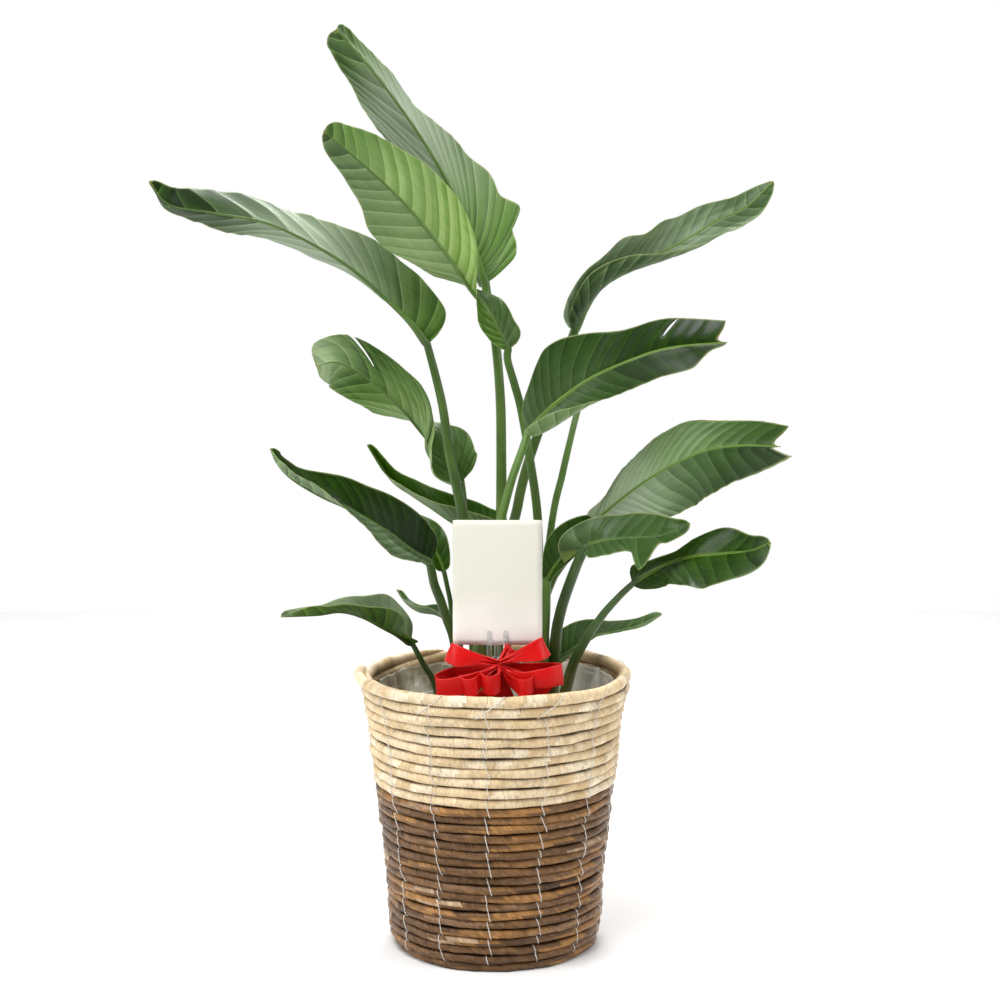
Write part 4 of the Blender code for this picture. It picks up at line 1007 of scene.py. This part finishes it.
def add_stalk(name, leaf, look, number):
    """The stalk from the soil to the blade and on as its rib, channelled on its upper side."""
    sides = 16
    rib, forward, up = rib_frame(leaf)
    stalk = smooth_curve(np.vstack([rib[:1], leaf.stalk]), 80)[:0:-1]
    path = np.vstack([stalk, rib])
    forward = unit(np.gradient(path, axis=0))
    ups = np.vstack([np.zeros_like(stalk), up])
    for i in range(len(stalk) - 1, -1, -1):
        ups[i] = unit(ups[i + 1] - (ups[i + 1] @ forward[i]) * forward[i])
    on_rib = np.r_[np.zeros(len(stalk)), np.linspace(0, 1, len(rib))]
    below = np.r_[np.linspace(1, 0, len(stalk)), np.zeros(len(rib))]
    top, foot = leaf.radii
    rib_radius = top * (1 - on_rib) ** 0.8 * (1 - 0.52 * eased(on_rib, 0, 0.2)) + 0.0004
    radius = np.where(on_rib > 0, rib_radius, top + (foot - top) * below)
    radius *= 1 + 0.02 * wander(np.arange(len(path)), 7.0, number)
    sunk = (radius - 0.0004) * eased(np.arange(len(path)), len(stalk) - 8, len(stalk) + 8)
    centres = path - ups * sunk[:, None]
    lefts = unit(np.cross(ups, forward))
    turn = 2 * pi * np.arange(sides) / sides
    turn = np.where(turn > pi, turn - 2 * pi, turn)
    channel = 0.28 * np.exp(-((turn / 0.6) ** 2))[None] * (1 - eased(on_rib, 0.0, 0.03))[:, None]
    reach = radius[:, None] * (1 - channel)
    points = (centres[:, None] + (reach * np.cos(turn))[..., None] * ups[:, None]
              + (reach * np.sin(turn))[..., None] * lefts[:, None])
    count = len(path)
    quads, ring, k = grid_faces(count, sides, closed=True)
    faces = quads[:, FLIPPED].tolist()
    faces += [list(range(sides)), list(range((count - 1) * sides, count * sides))[::-1]]
    stem = add_mesh(name, points.reshape(-1, 3), faces, [stalk_green])
    along = metres_along(path)
    corner_ring = np.stack([ring, ring + 1, ring + 1, ring], -1)
    corner_turn = np.stack([k, k, k + 1, k + 1], -1) / sides
    uv = np.stack([along[corner_ring] + number, corner_turn], -1).reshape(-1, 2)
    store_uv(stem, np.vstack([uv, np.tile((number, 0.0), (2 * sides, 1))]))
    shade = look.stalk + 0.14 * eased(on_rib, 0.0, 0.15)
    set_attributes(stem, (count, sides), shade=shade[:, None], foot=below[:, None] ** 3)
    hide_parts("stalk_" + name[len("stem_"):])
    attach(stem, "root")


def leaf_surface():
    """Shader group: from brightness, bloom and painted sheen to the colour and relief of a leaf's face.
    """
    inputs = {"Shade": 0.5, "Grey": 0.2, "Vein And Shade Contrast": 1.0}
    tree, given = new_group("leaf_surface", inputs, ["Color", "Through"], ["Height"])
    along, out = uv_place(tree)
    blotch = noise(tree, own_place(tree), 16.0, 3.0)
    fine = noise(tree, scaled_place(tree, along, 900.0, out, 5.0), 1.0, 2.0, 0.6)
    broad = noise(tree, scaled_place(tree, along, 190.0, out, 3.0), 1.0, 1.0, 0.5)
    # stripes along the leaf: painted light and shade of folds running with the veins
    lengthwise = noise(tree, scaled_place(tree, along, 10.0, out, 190.0), 1.0, 3.0, 0.65)
    lengthwise = ease(tree, lengthwise, 0.34, 0.66, -0.5, 0.5)
    fold_at = attribute(tree, "fold_at")
    panel = maths(tree, "MULTIPLY", maths(tree, "FLOOR", fold_at), 7.31)
    panel = noise(tree, flat_place(tree, panel, 0.0), 1.0, 0.0)
    # across: painted shade over each panel between veins, darker just past one vein and lighter towards
    # the next, as the pleats catch the light
    across = maths(tree, "FRACT", fold_at)
    vein = ease(tree, maths(tree, "PINGPONG", fold_at, 0.5), 0.015, 0.055, 1.0, 0.0)
    vein = maths(tree, "MULTIPLY", vein, ease(tree, panel, 0.3, 0.6, 0.3, 1.0))
    stripe = maths(tree, "MULTIPLY", vein, 0.18)
    for part, strength in ((fine, 0.08), (broad, 0.14), (panel, 0.14), (across, 0.20)):
        stripe = swing(tree, part, strength, stripe)
    shade = swing(tree, blotch, 0.30, given["Shade"])
    shade = maths(tree, "MULTIPLY_ADD", stripe, given["Vein And Shade Contrast"], shade)
    shade = maths(tree, "MULTIPLY_ADD", lengthwise, attribute(tree, "streak"), shade)
    colour = mix(tree, ease(tree, shade, 0.0, 0.33), rgb(24, 44, 10), rgb(56, 88, 26))
    colour = mix(tree, ease(tree, shade, 0.33, 0.66), colour, rgb(108, 146, 62))
    colour = mix(tree, ease(tree, shade, 0.66, 1.0), colour, rgb(172, 200, 120))
    # a grey as bright as the leaf, mixed in by Grey: the waxy bloom and a painted sheen
    bloom = mix(tree, ease(tree, shade, 0.1, 0.95), rgb(58, 72, 52), rgb(198, 208, 194))
    colour = mix(tree, maths(tree, "MULTIPLY", given["Grey"], 0.62, clamp=True), colour, bloom)
    colour = mix(tree, attribute(tree, "rib_line"), colour, rgb(146, 178, 66))
    edge = maths(tree, "MULTIPLY", attribute(tree, "edge_line"), 0.6)
    colour = mix(tree, edge, colour, rgb(172, 184, 120))
    dry = ease(tree, maths(tree, "MULTIPLY_ADD", blotch, 0.6, attribute(tree, "dry")), 0.95, 1.3)
    colour = mix(tree, dry, colour, rgb(134, 112, 70))
    through = mix(tree, 0.5, colour, rgb(150, 190, 60))
    height = maths(tree, "MULTIPLY_ADD", fine, 0.25, maths(tree, "MULTIPLY", broad, 0.6))
    height = maths(tree, "MULTIPLY_ADD", vein, 0.5, height)
    add_node(tree, "NodeGroupOutput", {"Color": colour, "Through": through, "Height": height})
    return tree


leaf_group = leaf_surface()


def leaf_material(name, face, contrast, roughness, relief, specular):
    """One face's finish. face: upper or under, whose brightness and bloom it shows, with their painted
    highlights, shade and sheen.
    """
    made, tree = new_material(name)
    inputs = {"Shade": attribute(tree, face + "_shade"), "Grey": attribute(tree, face + "_grey"),
              "Vein And Shade Contrast": contrast}
    surface = add_node(tree, "ShaderNodeGroup", inputs, node_tree=leaf_group).outputs
    normal = bump(tree, surface["Height"], relief)
    shader = add_node(tree, "ShaderNodeBsdfPrincipled", {
        "Base Color": surface["Color"], "Roughness": roughness, "Normal": normal,
        "Specular IOR Level": specular})
    glow = add_node(tree, "ShaderNodeBsdfTranslucent", {"Color": surface["Through"], "Normal": normal})
    both = add_node(tree, "ShaderNodeMixShader", {0: 0.3, 1: shader.outputs[0], 2: glow.outputs[0]})
    finish_material(tree, both)
    return made


leaf_upper = leaf_material("leaf_upper", "upper", 0.7, 0.30, 0.00014, 0.24)
leaf_under = leaf_material("leaf_under", "under", 1.4, 0.42, 0.00014, 0.26)
leaf_edge = leaf_material("leaf_edge", "under", 0.5, 0.5, 0.0001, 0.3)


def stalk_material():
    made, tree = new_material("stalk_green")
    along, across = uv_place(tree)
    lines = noise(tree, scaled_place(tree, along, 12.0, across, 34.0), 1.0, 3.0, 0.6)
    blotch = noise(tree, own_place(tree), 22.0, 3.0)
    shade = swing(tree, blotch, 0.4, swing(tree, lines, 0.5, attribute(tree, "shade")))
    colour = mix(tree, ease(tree, shade, 0.1, 0.55), rgb(44, 68, 22), rgb(86, 118, 48))
    colour = mix(tree, ease(tree, shade, 0.55, 1.0), colour, rgb(150, 174, 104))
    foot = maths(tree, "MULTIPLY", attribute(tree, "foot"), ease(tree, blotch, 0.35, 0.6))
    colour = mix(tree, foot, colour, rgb(128, 118, 66))
    finish_principled(tree, {"Base Color": colour, "Roughness": 0.38,
                             "Normal": bump(tree, lines, 0.0004), "Specular IOR Level": 0.45})
    return made


stalk_green = stalk_material()

for number, (leaf_name, leaf) in enumerate(LEAVES.items(), 1):
    add_blade("leaf_" + leaf_name, in_metres(leaf), LOOKS[leaf_name], number)
    add_stalk("stem_" + leaf_name, in_metres(leaf), LOOKS[leaf_name], number)

# ---------------------------------------------------------------- liner
# A crumpled bag of clear film between the pot and the basket. Its edge ends unevenly a little
# below the rim; it is 0.1 mm thick.
LINER_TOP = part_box("basket_liner")[1].z
# height and radius up the film
LINER_RADIUS = [(0.225, 0.1215), (0.245, 0.1235), (0.258, 0.1265), (0.272, 0.1300), (0.290, 0.1325)]


def film_material():
    made, tree = new_material("clear_film")
    place = own_place(tree)
    tall = add_node(tree, "ShaderNodeVectorMath", {0: place, 1: (1.0, 1.0, 0.55)}, operation="MULTIPLY")
    streak = noise(tree, tall.outputs[0], 42.0, 3.0, 0.6)
    broad = noise(tree, tall.outputs[0], 15.0, 1.0)
    milky = maths(tree, "MULTIPLY_ADD", streak, 0.7, maths(tree, "MULTIPLY", broad, 0.5))
    milky = ease(tree, milky, 0.50, 0.78, 0.62, 0.92)
    rightward = add_node(tree, "ShaderNodeSeparateXYZ", {0: place}).outputs[0]
    colour = mix(tree, ease(tree, streak, 0.35, 0.65), rgb(150, 140, 112), rgb(206, 200, 184))
    # lighter towards the right: painted light on that side of the film
    colour = mix(tree, ease(tree, rightward, 0.02, 0.10, 0.0, 0.75), colour, rgb(238, 236, 228))
    finish_principled(tree, {"Base Color": colour, "Roughness": 0.22, "Alpha": milky,
                             "Normal": bump(tree, streak, 0.004), "Specular IOR Level": 0.6})
    return made


def add_liner():
    around, up = 260, 22
    angle = 2 * pi * np.arange(around) / around
    place = angle * 0.130
    edge = LINER_TOP + 0.001 + 0.006 * wander(place, 0.045, 61) + 0.0015 * wander(place, 0.012, 62)
    foot = LINER_RADIUS[0][0]
    height = foot + (edge - foot) * np.linspace(0, 1, up)[:, None]
    radius = np.interp(height, *zip(*LINER_RADIUS))
    fold = np.abs(wander(place + 0.5 * height, 0.042, 63)) * 0.006
    fold = fold + np.abs(wander(place - 1.2 * height, 0.033, 65)) * 0.004
    radius = radius - fold * np.clip((height - 0.24) / 0.012, 0, 1)
    points = round_about(np.tile(angle, (up, 1)), radius, height).reshape(-1, 3)
    liner = add_mesh("liner_film", points, grid_faces(up, around, closed=True)[0], [film_material()])
    thick = liner.modifiers.new("thickness", "SOLIDIFY")
    thick.thickness = 0.0001
    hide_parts("basket_liner")
    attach(liner, "root")


add_liner()

# ---------------------------------------------------------------- pot
# A 24 cm grower's pot of pale plastic with a rolled lip, which stands loose in the basket. The
# CAD pot keeps its shape and gets a lightly scuffed, ribbed plastic.


def pot_material():
    made, tree = new_material("pot_plastic")
    place = own_place(tree)
    scuff = noise(tree, place, 60.0, 5.0, 0.65)
    ring = add_node(tree, "ShaderNodeTexWave", {"Vector": place, "Scale": 60.0}, bands_direction="Z")
    colour = mix(tree, ease(tree, scuff, 0.3, 0.7), rgb(196, 196, 188), rgb(222, 222, 214))
    height = maths(tree, "MULTIPLY_ADD", scuff, 0.5, ring.outputs["Fac"])
    normal = bump(tree, height, 0.0002)
    finish_principled(tree, {"Base Color": colour, "Roughness": 0.42, "Normal": normal})
    return made


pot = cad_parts["nursery_pot"]
for index in range(max(1, len(pot.material_slots))):
    if not pot.material_slots:
        pot.data.materials.append(None)
    pot.material_slots[index].material = pot_material()

# ---------------------------------------------------------------- soil
# Dark potting compost, heaped unevenly, with chips of bark lying on it. It fills the pot to
# just under the lip and holds the stalks.
SOIL_RADIUS, _, SOIL_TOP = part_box("soil")[1]
CHIPS = 330
CHIPS_REACH = 0.108  # from the middle
# the faces of a box whose corners count up in z first, then y, then x
BOX_FACES = ((0, 1, 3, 2), (4, 6, 7, 5), (0, 4, 5, 1), (2, 3, 7, 6), (0, 2, 6, 4), (1, 5, 7, 3))


def soil_material():
    made, tree = new_material("compost")
    place = own_place(tree)
    grain = noise(tree, place, 260.0, 5.0, 0.7)
    clump = noise(tree, place, 45.0, 3.0)
    speck = add_node(tree, "ShaderNodeTexVoronoi", {"Vector": place, "Scale": 300.0}).outputs["Color"]
    speck = add_node(tree, "ShaderNodeSeparateColor", {0: speck}).outputs[0]
    colour = mix(tree, ease(tree, clump, 0.3, 0.7), rgb(48, 36, 27), rgb(84, 64, 46))
    colour = mix(tree, ease(tree, speck, 0.94, 0.96), colour, rgb(206, 200, 184))
    normal = bump(tree, maths(tree, "ADD", grain, clump), 0.003)
    finish_principled(tree, {"Base Color": colour, "Roughness": 0.9, "Normal": normal})
    return made


def bark_material():
    made, tree = new_material("bark")
    grain = noise(tree, own_place(tree), 120.0, 4.0, 0.6)
    colour = mix(tree, ease(tree, grain, 0.3, 0.7), rgb(78, 52, 34), rgb(142, 100, 66))
    normal = bump(tree, grain, 0.001)
    finish_principled(tree, {"Base Color": colour, "Roughness": 0.85, "Normal": normal})
    return made


def soil_height(x, y):
    heaps = 0.0025 * wander(x + 0.5 * y, 0.018, 71) + 0.0025 * wander(y - 0.4 * x, 0.015, 72)
    return SOIL_TOP - 0.003 + heaps + 0.0010 * wander(x, 0.004, 73) + 0.0010 * wander(y, 0.004, 74)


def add_soil():
    rings, around = 34, 120
    radius = np.linspace(0, SOIL_RADIUS - 0.0008, rings + 1)[1:]
    angle = 2 * pi * np.arange(around) / around
    x, y = radius[:, None] * np.cos(angle), radius[:, None] * np.sin(angle)
    rest = np.stack([x, y, soil_height(x, y)], -1).reshape(-1, 3)
    points = np.vstack([(0.0, 0.0, float(soil_height(0.0, 0.0))), rest])
    faces = [(0, 1 + j, 1 + (j + 1) % around) for j in range(around)]
    faces += (grid_faces(rings, around, closed=True)[0][:, FLIPPED] + 1).tolist()
    ground = add_mesh("soil_surface", points, faces, [soil_material()])
    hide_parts("soil")
    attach(ground, "root")


def add_chips():
    random = np.random.default_rng(7)
    box = np.array([(i, j, k) for i in (-1, 1) for j in (-1, 1) for k in (-1, 1)])
    points, faces = [], []
    for _ in range(CHIPS):
        reach, turn = CHIPS_REACH * np.sqrt(random.random()), 2 * pi * random.random()
        x, y = reach * cos(turn), reach * sin(turn)
        size = random.uniform(0.003, 0.009)
        size = size * np.array([1, random.uniform(0.4, 0.8), random.uniform(0.2, 0.45)])
        corners = box * random.uniform(0.6, 1, (8, 3)) * size
        spin, tip = random.uniform(0, 2 * pi), random.uniform(-0.35, 0.35)
        a, b = cos(spin), sin(spin)
        corners = corners @ np.array([[a, b, 0], [-b, a, 0], [tip, 0, 1]])
        corners += (x, y, float(soil_height(x, y)) + size[2] * 0.5)
        start = len(points)
        points += corners.tolist()
        faces += [tuple(start + corner for corner in face) for face in BOX_FACES]
    chips = add_mesh("bark_chips", points, faces, [bark_material()])
    soften = chips.modifiers.new("worn", "BEVEL")
    soften.width = 0.0006
    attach(chips, "root")


add_soil()
add_chips()

# ---------------------------------------------------------------- card
# A plain gift card, a little over B7, of smooth cream board, flushed with pink towards its foot,
# where it is also painted lighter: painted light against the shade of the bow.
# It stands upright, held by its foot in the pick.
card_low, card_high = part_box("card")
CARD_BEND = 0.0012  # how far its sides stand behind its middle
CARD_CORNER = 0.0012


def card_material():
    made, tree = new_material("card_board")
    place = own_place(tree)
    height = add_node(tree, "ShaderNodeSeparateXYZ", {0: place}).outputs[2]
    fibre = noise(tree, place, 900.0, 3.0, 0.6)
    level = swing(tree, noise(tree, place, 26.0, 2.0), 0.03, height)
    # towards the foot the board turns pink and lighter: partly its own flush, partly painted light
    # against the bow's shade
    pink_foot_and_light = ease(tree, level, card_low.z + 0.002, card_low.z + 0.060, 1.0, 0.0)
    colour = mix(tree, pink_foot_and_light, rgb(225, 223, 210), rgb(255, 247, 241))
    colour = mix(tree, ease(tree, fibre, 0.35, 0.65, 0.0, 0.10), colour, rgb(216, 208, 190))
    finish_principled(tree, {"Base Color": colour, "Roughness": 0.62,
                             "Normal": bump(tree, fibre, 0.00004), "Specular IOR Level": 0.3})
    return made


def add_card():
    """A sheet with a slight bow to it and small soft corners."""
    across, up = 16, 22
    x = np.linspace(card_low.x, card_high.x, across)
    z = np.linspace(card_low.z, card_high.z, up)
    grid_x, grid_z = np.meshgrid(x, z)
    share = (grid_x - card_low.x) / (card_high.x - card_low.x)
    y = (card_low.y + card_high.y) / 2 + CARD_BEND * ((share * 2 - 1) ** 2 - 0.5)
    for i in (0, -1):
        for j in (0, -1):
            grid_x[i, j] += CARD_CORNER * (0.3 if j == 0 else -0.3)
            grid_z[i, j] += CARD_CORNER * (0.3 if i == 0 else -0.3)
    points = np.stack([grid_x, y, grid_z], -1).reshape(-1, 3)
    card = add_mesh("gift_card", points, grid_faces(up, across)[0], [card_material()])
    board = card.modifiers.new("board", "SOLIDIFY")
    board.thickness = card_high.y - card_low.y
    board.offset = 0
    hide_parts("card")
    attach(card, "root")


add_card()

# ---------------------------------------------------------------- pick
# A moulded holder of clear plastic. Two round-ended prongs in front of the card and one behind
# it stand on a bar, and a thin stem goes down into the soil.
STEM_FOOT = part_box("card_pick")[0].z
PRONG_TALL = 0.031
PRONG_APART = 0.0085  # each front prong from the middle
PLASTIC = 0.0013  # thickness


def clear_plastic_material():
    made, tree = new_material("clear_plastic")
    flow = noise(tree, own_place(tree), 130.0, 2.0)
    tone = mix(tree, flow, (0.93, 0.95, 0.95, 1), (0.99, 0.99, 0.99, 1))
    finish_principled(tree, {"Base Color": tone, "Roughness": 0.06, "IOR": 1.46,
                             "Transmission Weight": 0.93, "Normal": bump(tree, flow, 0.0004)})
    return made


def rounded_bar(name, x, y, low, high, width, thick, round_foot):
    """An upright flat bar with a half-round top, and a half-round foot if asked, bevelled."""
    half = width / 2
    turn = np.linspace(0, pi, 13)
    outline = [(x + half * cos(t), high - half + half * sin(t)) for t in turn]
    if round_foot:
        outline += [(x - half * cos(t), low + half - half * sin(t)) for t in turn]
    else:
        outline += [(x - half, low), (x + half, low)]
    count = len(outline)
    points = [(px, y, pz) for px, pz in outline] + [(px, y + thick, pz) for px, pz in outline]
    faces = [list(range(count))[::-1], list(range(count, 2 * count))]
    faces += [(i, (i + 1) % count, count + (i + 1) % count, count + i) for i in range(count)]
    bar = add_mesh(name, points, faces, [])
    bar.data.flip_normals()
    bevel(bar, thick * 0.3)
    return bar


def bevel(piece, width):
    edge = piece.modifiers.new("edge", "BEVEL")
    edge.width = width
    edge.segments = 3


def add_pick():
    middle = (card_low.x + card_high.x) / 2
    foot = card_low.z - 0.0155
    top = foot + PRONG_TALL
    front, behind = card_low.y - PLASTIC - 0.0012, card_high.y + 0.0010
    bars = [rounded_bar("prong_left", middle - PRONG_APART, front, foot, top, 0.0052, PLASTIC, False),
            rounded_bar("prong_right", middle + PRONG_APART, front, foot, top, 0.0052, PLASTIC, False),
            rounded_bar("prong_behind", middle, behind, foot, top, 0.0060, PLASTIC, False),
            rounded_bar("stem", middle, front + 0.001, STEM_FOOT, foot + 0.002, 0.0032, 0.0026, True)]
    corners = [(middle + x, y, z) for x in (-0.0125, 0.0125) for y in (front, behind + PLASTIC)
               for z in (foot, foot + 0.0035)]
    bar = add_mesh("bar", corners, BOX_FACES, [])
    bevel(bar, 0.001)
    bars.append(bar)
    for piece in bars:
        apply_modifiers(piece)
    pick = joined("clear_pick", bars, [clear_plastic_material()])
    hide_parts("card_pick")
    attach(pick, "root")


def apply_modifiers(piece):
    graph = bpy.context.evaluated_depsgraph_get()
    mesh = bpy.data.meshes.new_from_object(piece.evaluated_get(graph))
    piece.modifiers.clear()
    piece.data = mesh


add_pick()

# ---------------------------------------------------------------- bow
# A pull bow of red satin ribbon, 22 mm wide, drawn together on a thread at its middle: four big
# loops, four small ones and three tails.
RIBBON = 0.022
BOW_MIDDLE = np.array([0.0035, -0.100, 0.3275])
# each loop: points along the ribbon's upper edge, and the way across it from there, in millimetres
LOOPS = {
    "upper_left": [((-1, 0, 2), (0, 0, -4)), ((-22, -2, 10), (0, -2, -12)),
                   ((-40, 0, 17.6), (-3, -5, -21)), ((-48, 6, 19.4), (-8, 3, -19)),
                   ((-41, 13, 14), (-6, 3, -19)), ((-18, 8, 7), (0, 0, -12)),
                   ((0, 3, 2), (0, 0, -4))],
    "upper_right": [((1, 0, 2), (0, 0, -4)), ((21, -2, 13.6), (0, -1, -13)),
                    ((38, 0, 23.1), (7, -6, -20)), ((46, 6, 25.8), (9, 2, -19)),
                    ((39, 14, 21), (7, 3, -19)), ((18, 8, 10), (2, 0, -12)),
                    ((0, 3, 2), (0, 0, -4))],
    "upper_small": [((1, 3, 2), (2, 0, -3)), ((6, 5, 13), (6, 1, -8)), ((8, 8, 18.5), (10, 2, -9)),
                    ((12, 12, 14), (8, 2, -9)), ((3, 6, 3), (2, 0, -3))],
    "lower_left": [((0, 1, 0), (0, 0, -5)), ((-22, 8, -2.5), (0, 1, -15)),
                   ((-45, 13, -7), (0, 2, -21)), ((-60, 6, -10.7), (1, 0, -21)),
                   ((-65.5, -3, -13.4), (1.5, -1, -21)), ((-58, -11, -15.5), (1, -2, -21)),
                   ((-40, -14, -12), (1, -2, -20)), ((-20, -10, -7.7), (1, -1, -15)),
                   ((0, -2, -1), (0, 0, -5))],
    "left_small": [((0, -1, -1), (0, 0, -4)), ((-18, -4, -8), (1, 0, -14)),
                   ((-35, -8, -11.5), (4, 0, -19)), ((-40.4, -13, -11.5), (5, 0, -20)),
                   ((-33, -19, -14), (3, -3, -19)), ((-24, -20, -12), (2, -3, -18)),
                   ((-18, -14, -8), (1, -1, -15)), ((-2, -4, -2), (0, 0, -4))],
    "middle_small": [((0, -2, -1), (0, 0, -4)), ((-11, -6, -6), (1, 0, -13)),
                     ((-18.8, -14, -7.6), (3, -1, -20)), ((-9, -22, -10.5), (3, -2, -20)),
                     ((2.5, -15, -6), (0, -2, -20)), ((1, -5, -2), (0, 0, -6))],
    "right_small": [((2, -1, -1), (0, 0, -4)), ((8, -6, -8), (1, 0, -12)),
                    ((15.9, -14, -12), (3, -1, -17)), ((21, -22, -13.4), (2, -2, -18)),
                    ((30, -23, -13.2), (1, -2, -17)), ((36.5, -15, -10.4), (0, -1, -16)),
                    ((26, -6, -9), (0, 0, -13)), ((4, -1, -1.5), (0, 0, -4))],
    "lower_right": [((0, 1, 0), (0, 0, -4)), ((25, 10, -2.6), (1, 1, -16)),
                    ((50, 12, -2.3), (2, 1, -21)), ((66, 4, -1.8), (2, 0, -22)),
                    ((58, -8, -2.1), (2, -2, -21)), ((42, -13, -4.9), (2, -2, -20)),
                    ((24, -10, -8), (1, -1, -13)), ((4, -3, -3), (0, 0, -4))],
    "tail_left": [((-2, 3, -4), (3, 0, -1)), ((-9, 6, -20), (11, 0, -3)),
                  ((-24, 6, -38), (20, 0, 2)), ((-32, 9, -52), (21, 0, 3))],
    "tail_middle": [((-1, 4, -4), (3, 0, 0)), ((-3, 8, -20), (12, 0, -1)),
                    ((-4, 8, -36), (20, 0, 0)), ((-6, 10, -52), (22, 0, 0))],
    "tail_right": [((2, 2, -4), (3, 0, 2)), ((14, 4, -18), (11, 0, 8)), ((30, 4, -32), (14, 0, 14)),
                   ((42, 6, -44), (15, 0, 16))],
}


def satin_material():
    made, tree = new_material("red_satin")
    along, across = uv_place(tree)
    weave = noise(tree, scaled_place(tree, along, 25.0, across, 4200.0), 1.0, 2.0, 0.6)
    crease = noise(tree, scaled_place(tree, along, 260.0, across, 12.0), 1.0, 2.0)
    edge = maths(tree, "MINIMUM", across, maths(tree, "SUBTRACT", RIBBON, across))
    edge = ease(tree, edge, 0.0002, 0.0009, 1.0, 0.0)
    colour = mix(tree, ease(tree, weave, 0.3, 0.7), rgb(190, 10, 10), rgb(218, 20, 18))
    colour = mix(tree, maths(tree, "MULTIPLY", edge, 0.5), colour, rgb(240, 70, 62))
    height = maths(tree, "ADD", maths(tree, "MULTIPLY_ADD", crease, 2.0, weave), edge)
    finish_principled(tree, {"Base Color": colour, "Roughness": 0.34, "Specular IOR Level": 0.3,
                             "Normal": bump(tree, height, 0.00012), "Sheen Weight": 0.06,
                             "Sheen Roughness": 0.4, "Sheen Tint": rgb(255, 150, 140)})
    return made


def bow_ribbon(name, stations):
    """One loop or tail, and its length. Near the knot it is gathered into waves."""
    steps, columns = 14 * (len(stations) - 1), 14
    curve = curve_through(np.array([(*place, *way) for place, way in stations], float), steps + 1)
    edge, across = curve[:, :3] / 1000, curve[:, 3:] / 1000
    forward = unit(np.gradient(edge + across / 2, axis=0))
    normal = unit(np.cross(forward, unit(across)))
    v = np.linspace(0, 1, columns + 1)
    near = np.exp(-(np.linalg.norm(edge + across / 2, axis=1) / 0.013) ** 2)[:, None]
    wave = 0.0022 * near * np.cos(2 * pi * 2 * v)[None]
    cup = 0.0005 * np.sin(pi * v)[None] * (1 - near)
    points = BOW_MIDDLE + edge[:, None] + across[:, None] * v[None, :, None]
    points += (wave + cup)[..., None] * normal[:, None]
    quads = grid_faces(steps + 1, columns + 1)[0]
    piece = add_mesh(name, points.reshape(-1, 3), quads, [])
    along = metres_along(edge + across / 2)
    uv = np.stack(np.broadcast_arrays(along[:, None], v * RIBBON), -1)
    store_uv(piece, uv.reshape(-1, 2)[quads.ravel()])
    return piece, along[-1]


def add_bow():
    strips, total = [], 0.0
    for name, stations in LOOPS.items():
        piece, length = bow_ribbon("ribbon_" + name, stations)
        strips.append(piece)
        total += length
    bow = joined("satin_bow", strips, [satin_material()])
    cloth = bow.modifiers.new("cloth", "SOLIDIFY")
    cloth.thickness = 0.00025
    cloth.offset = 0
    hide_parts("ribbon_bow")
    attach(bow, "root")


add_bow()
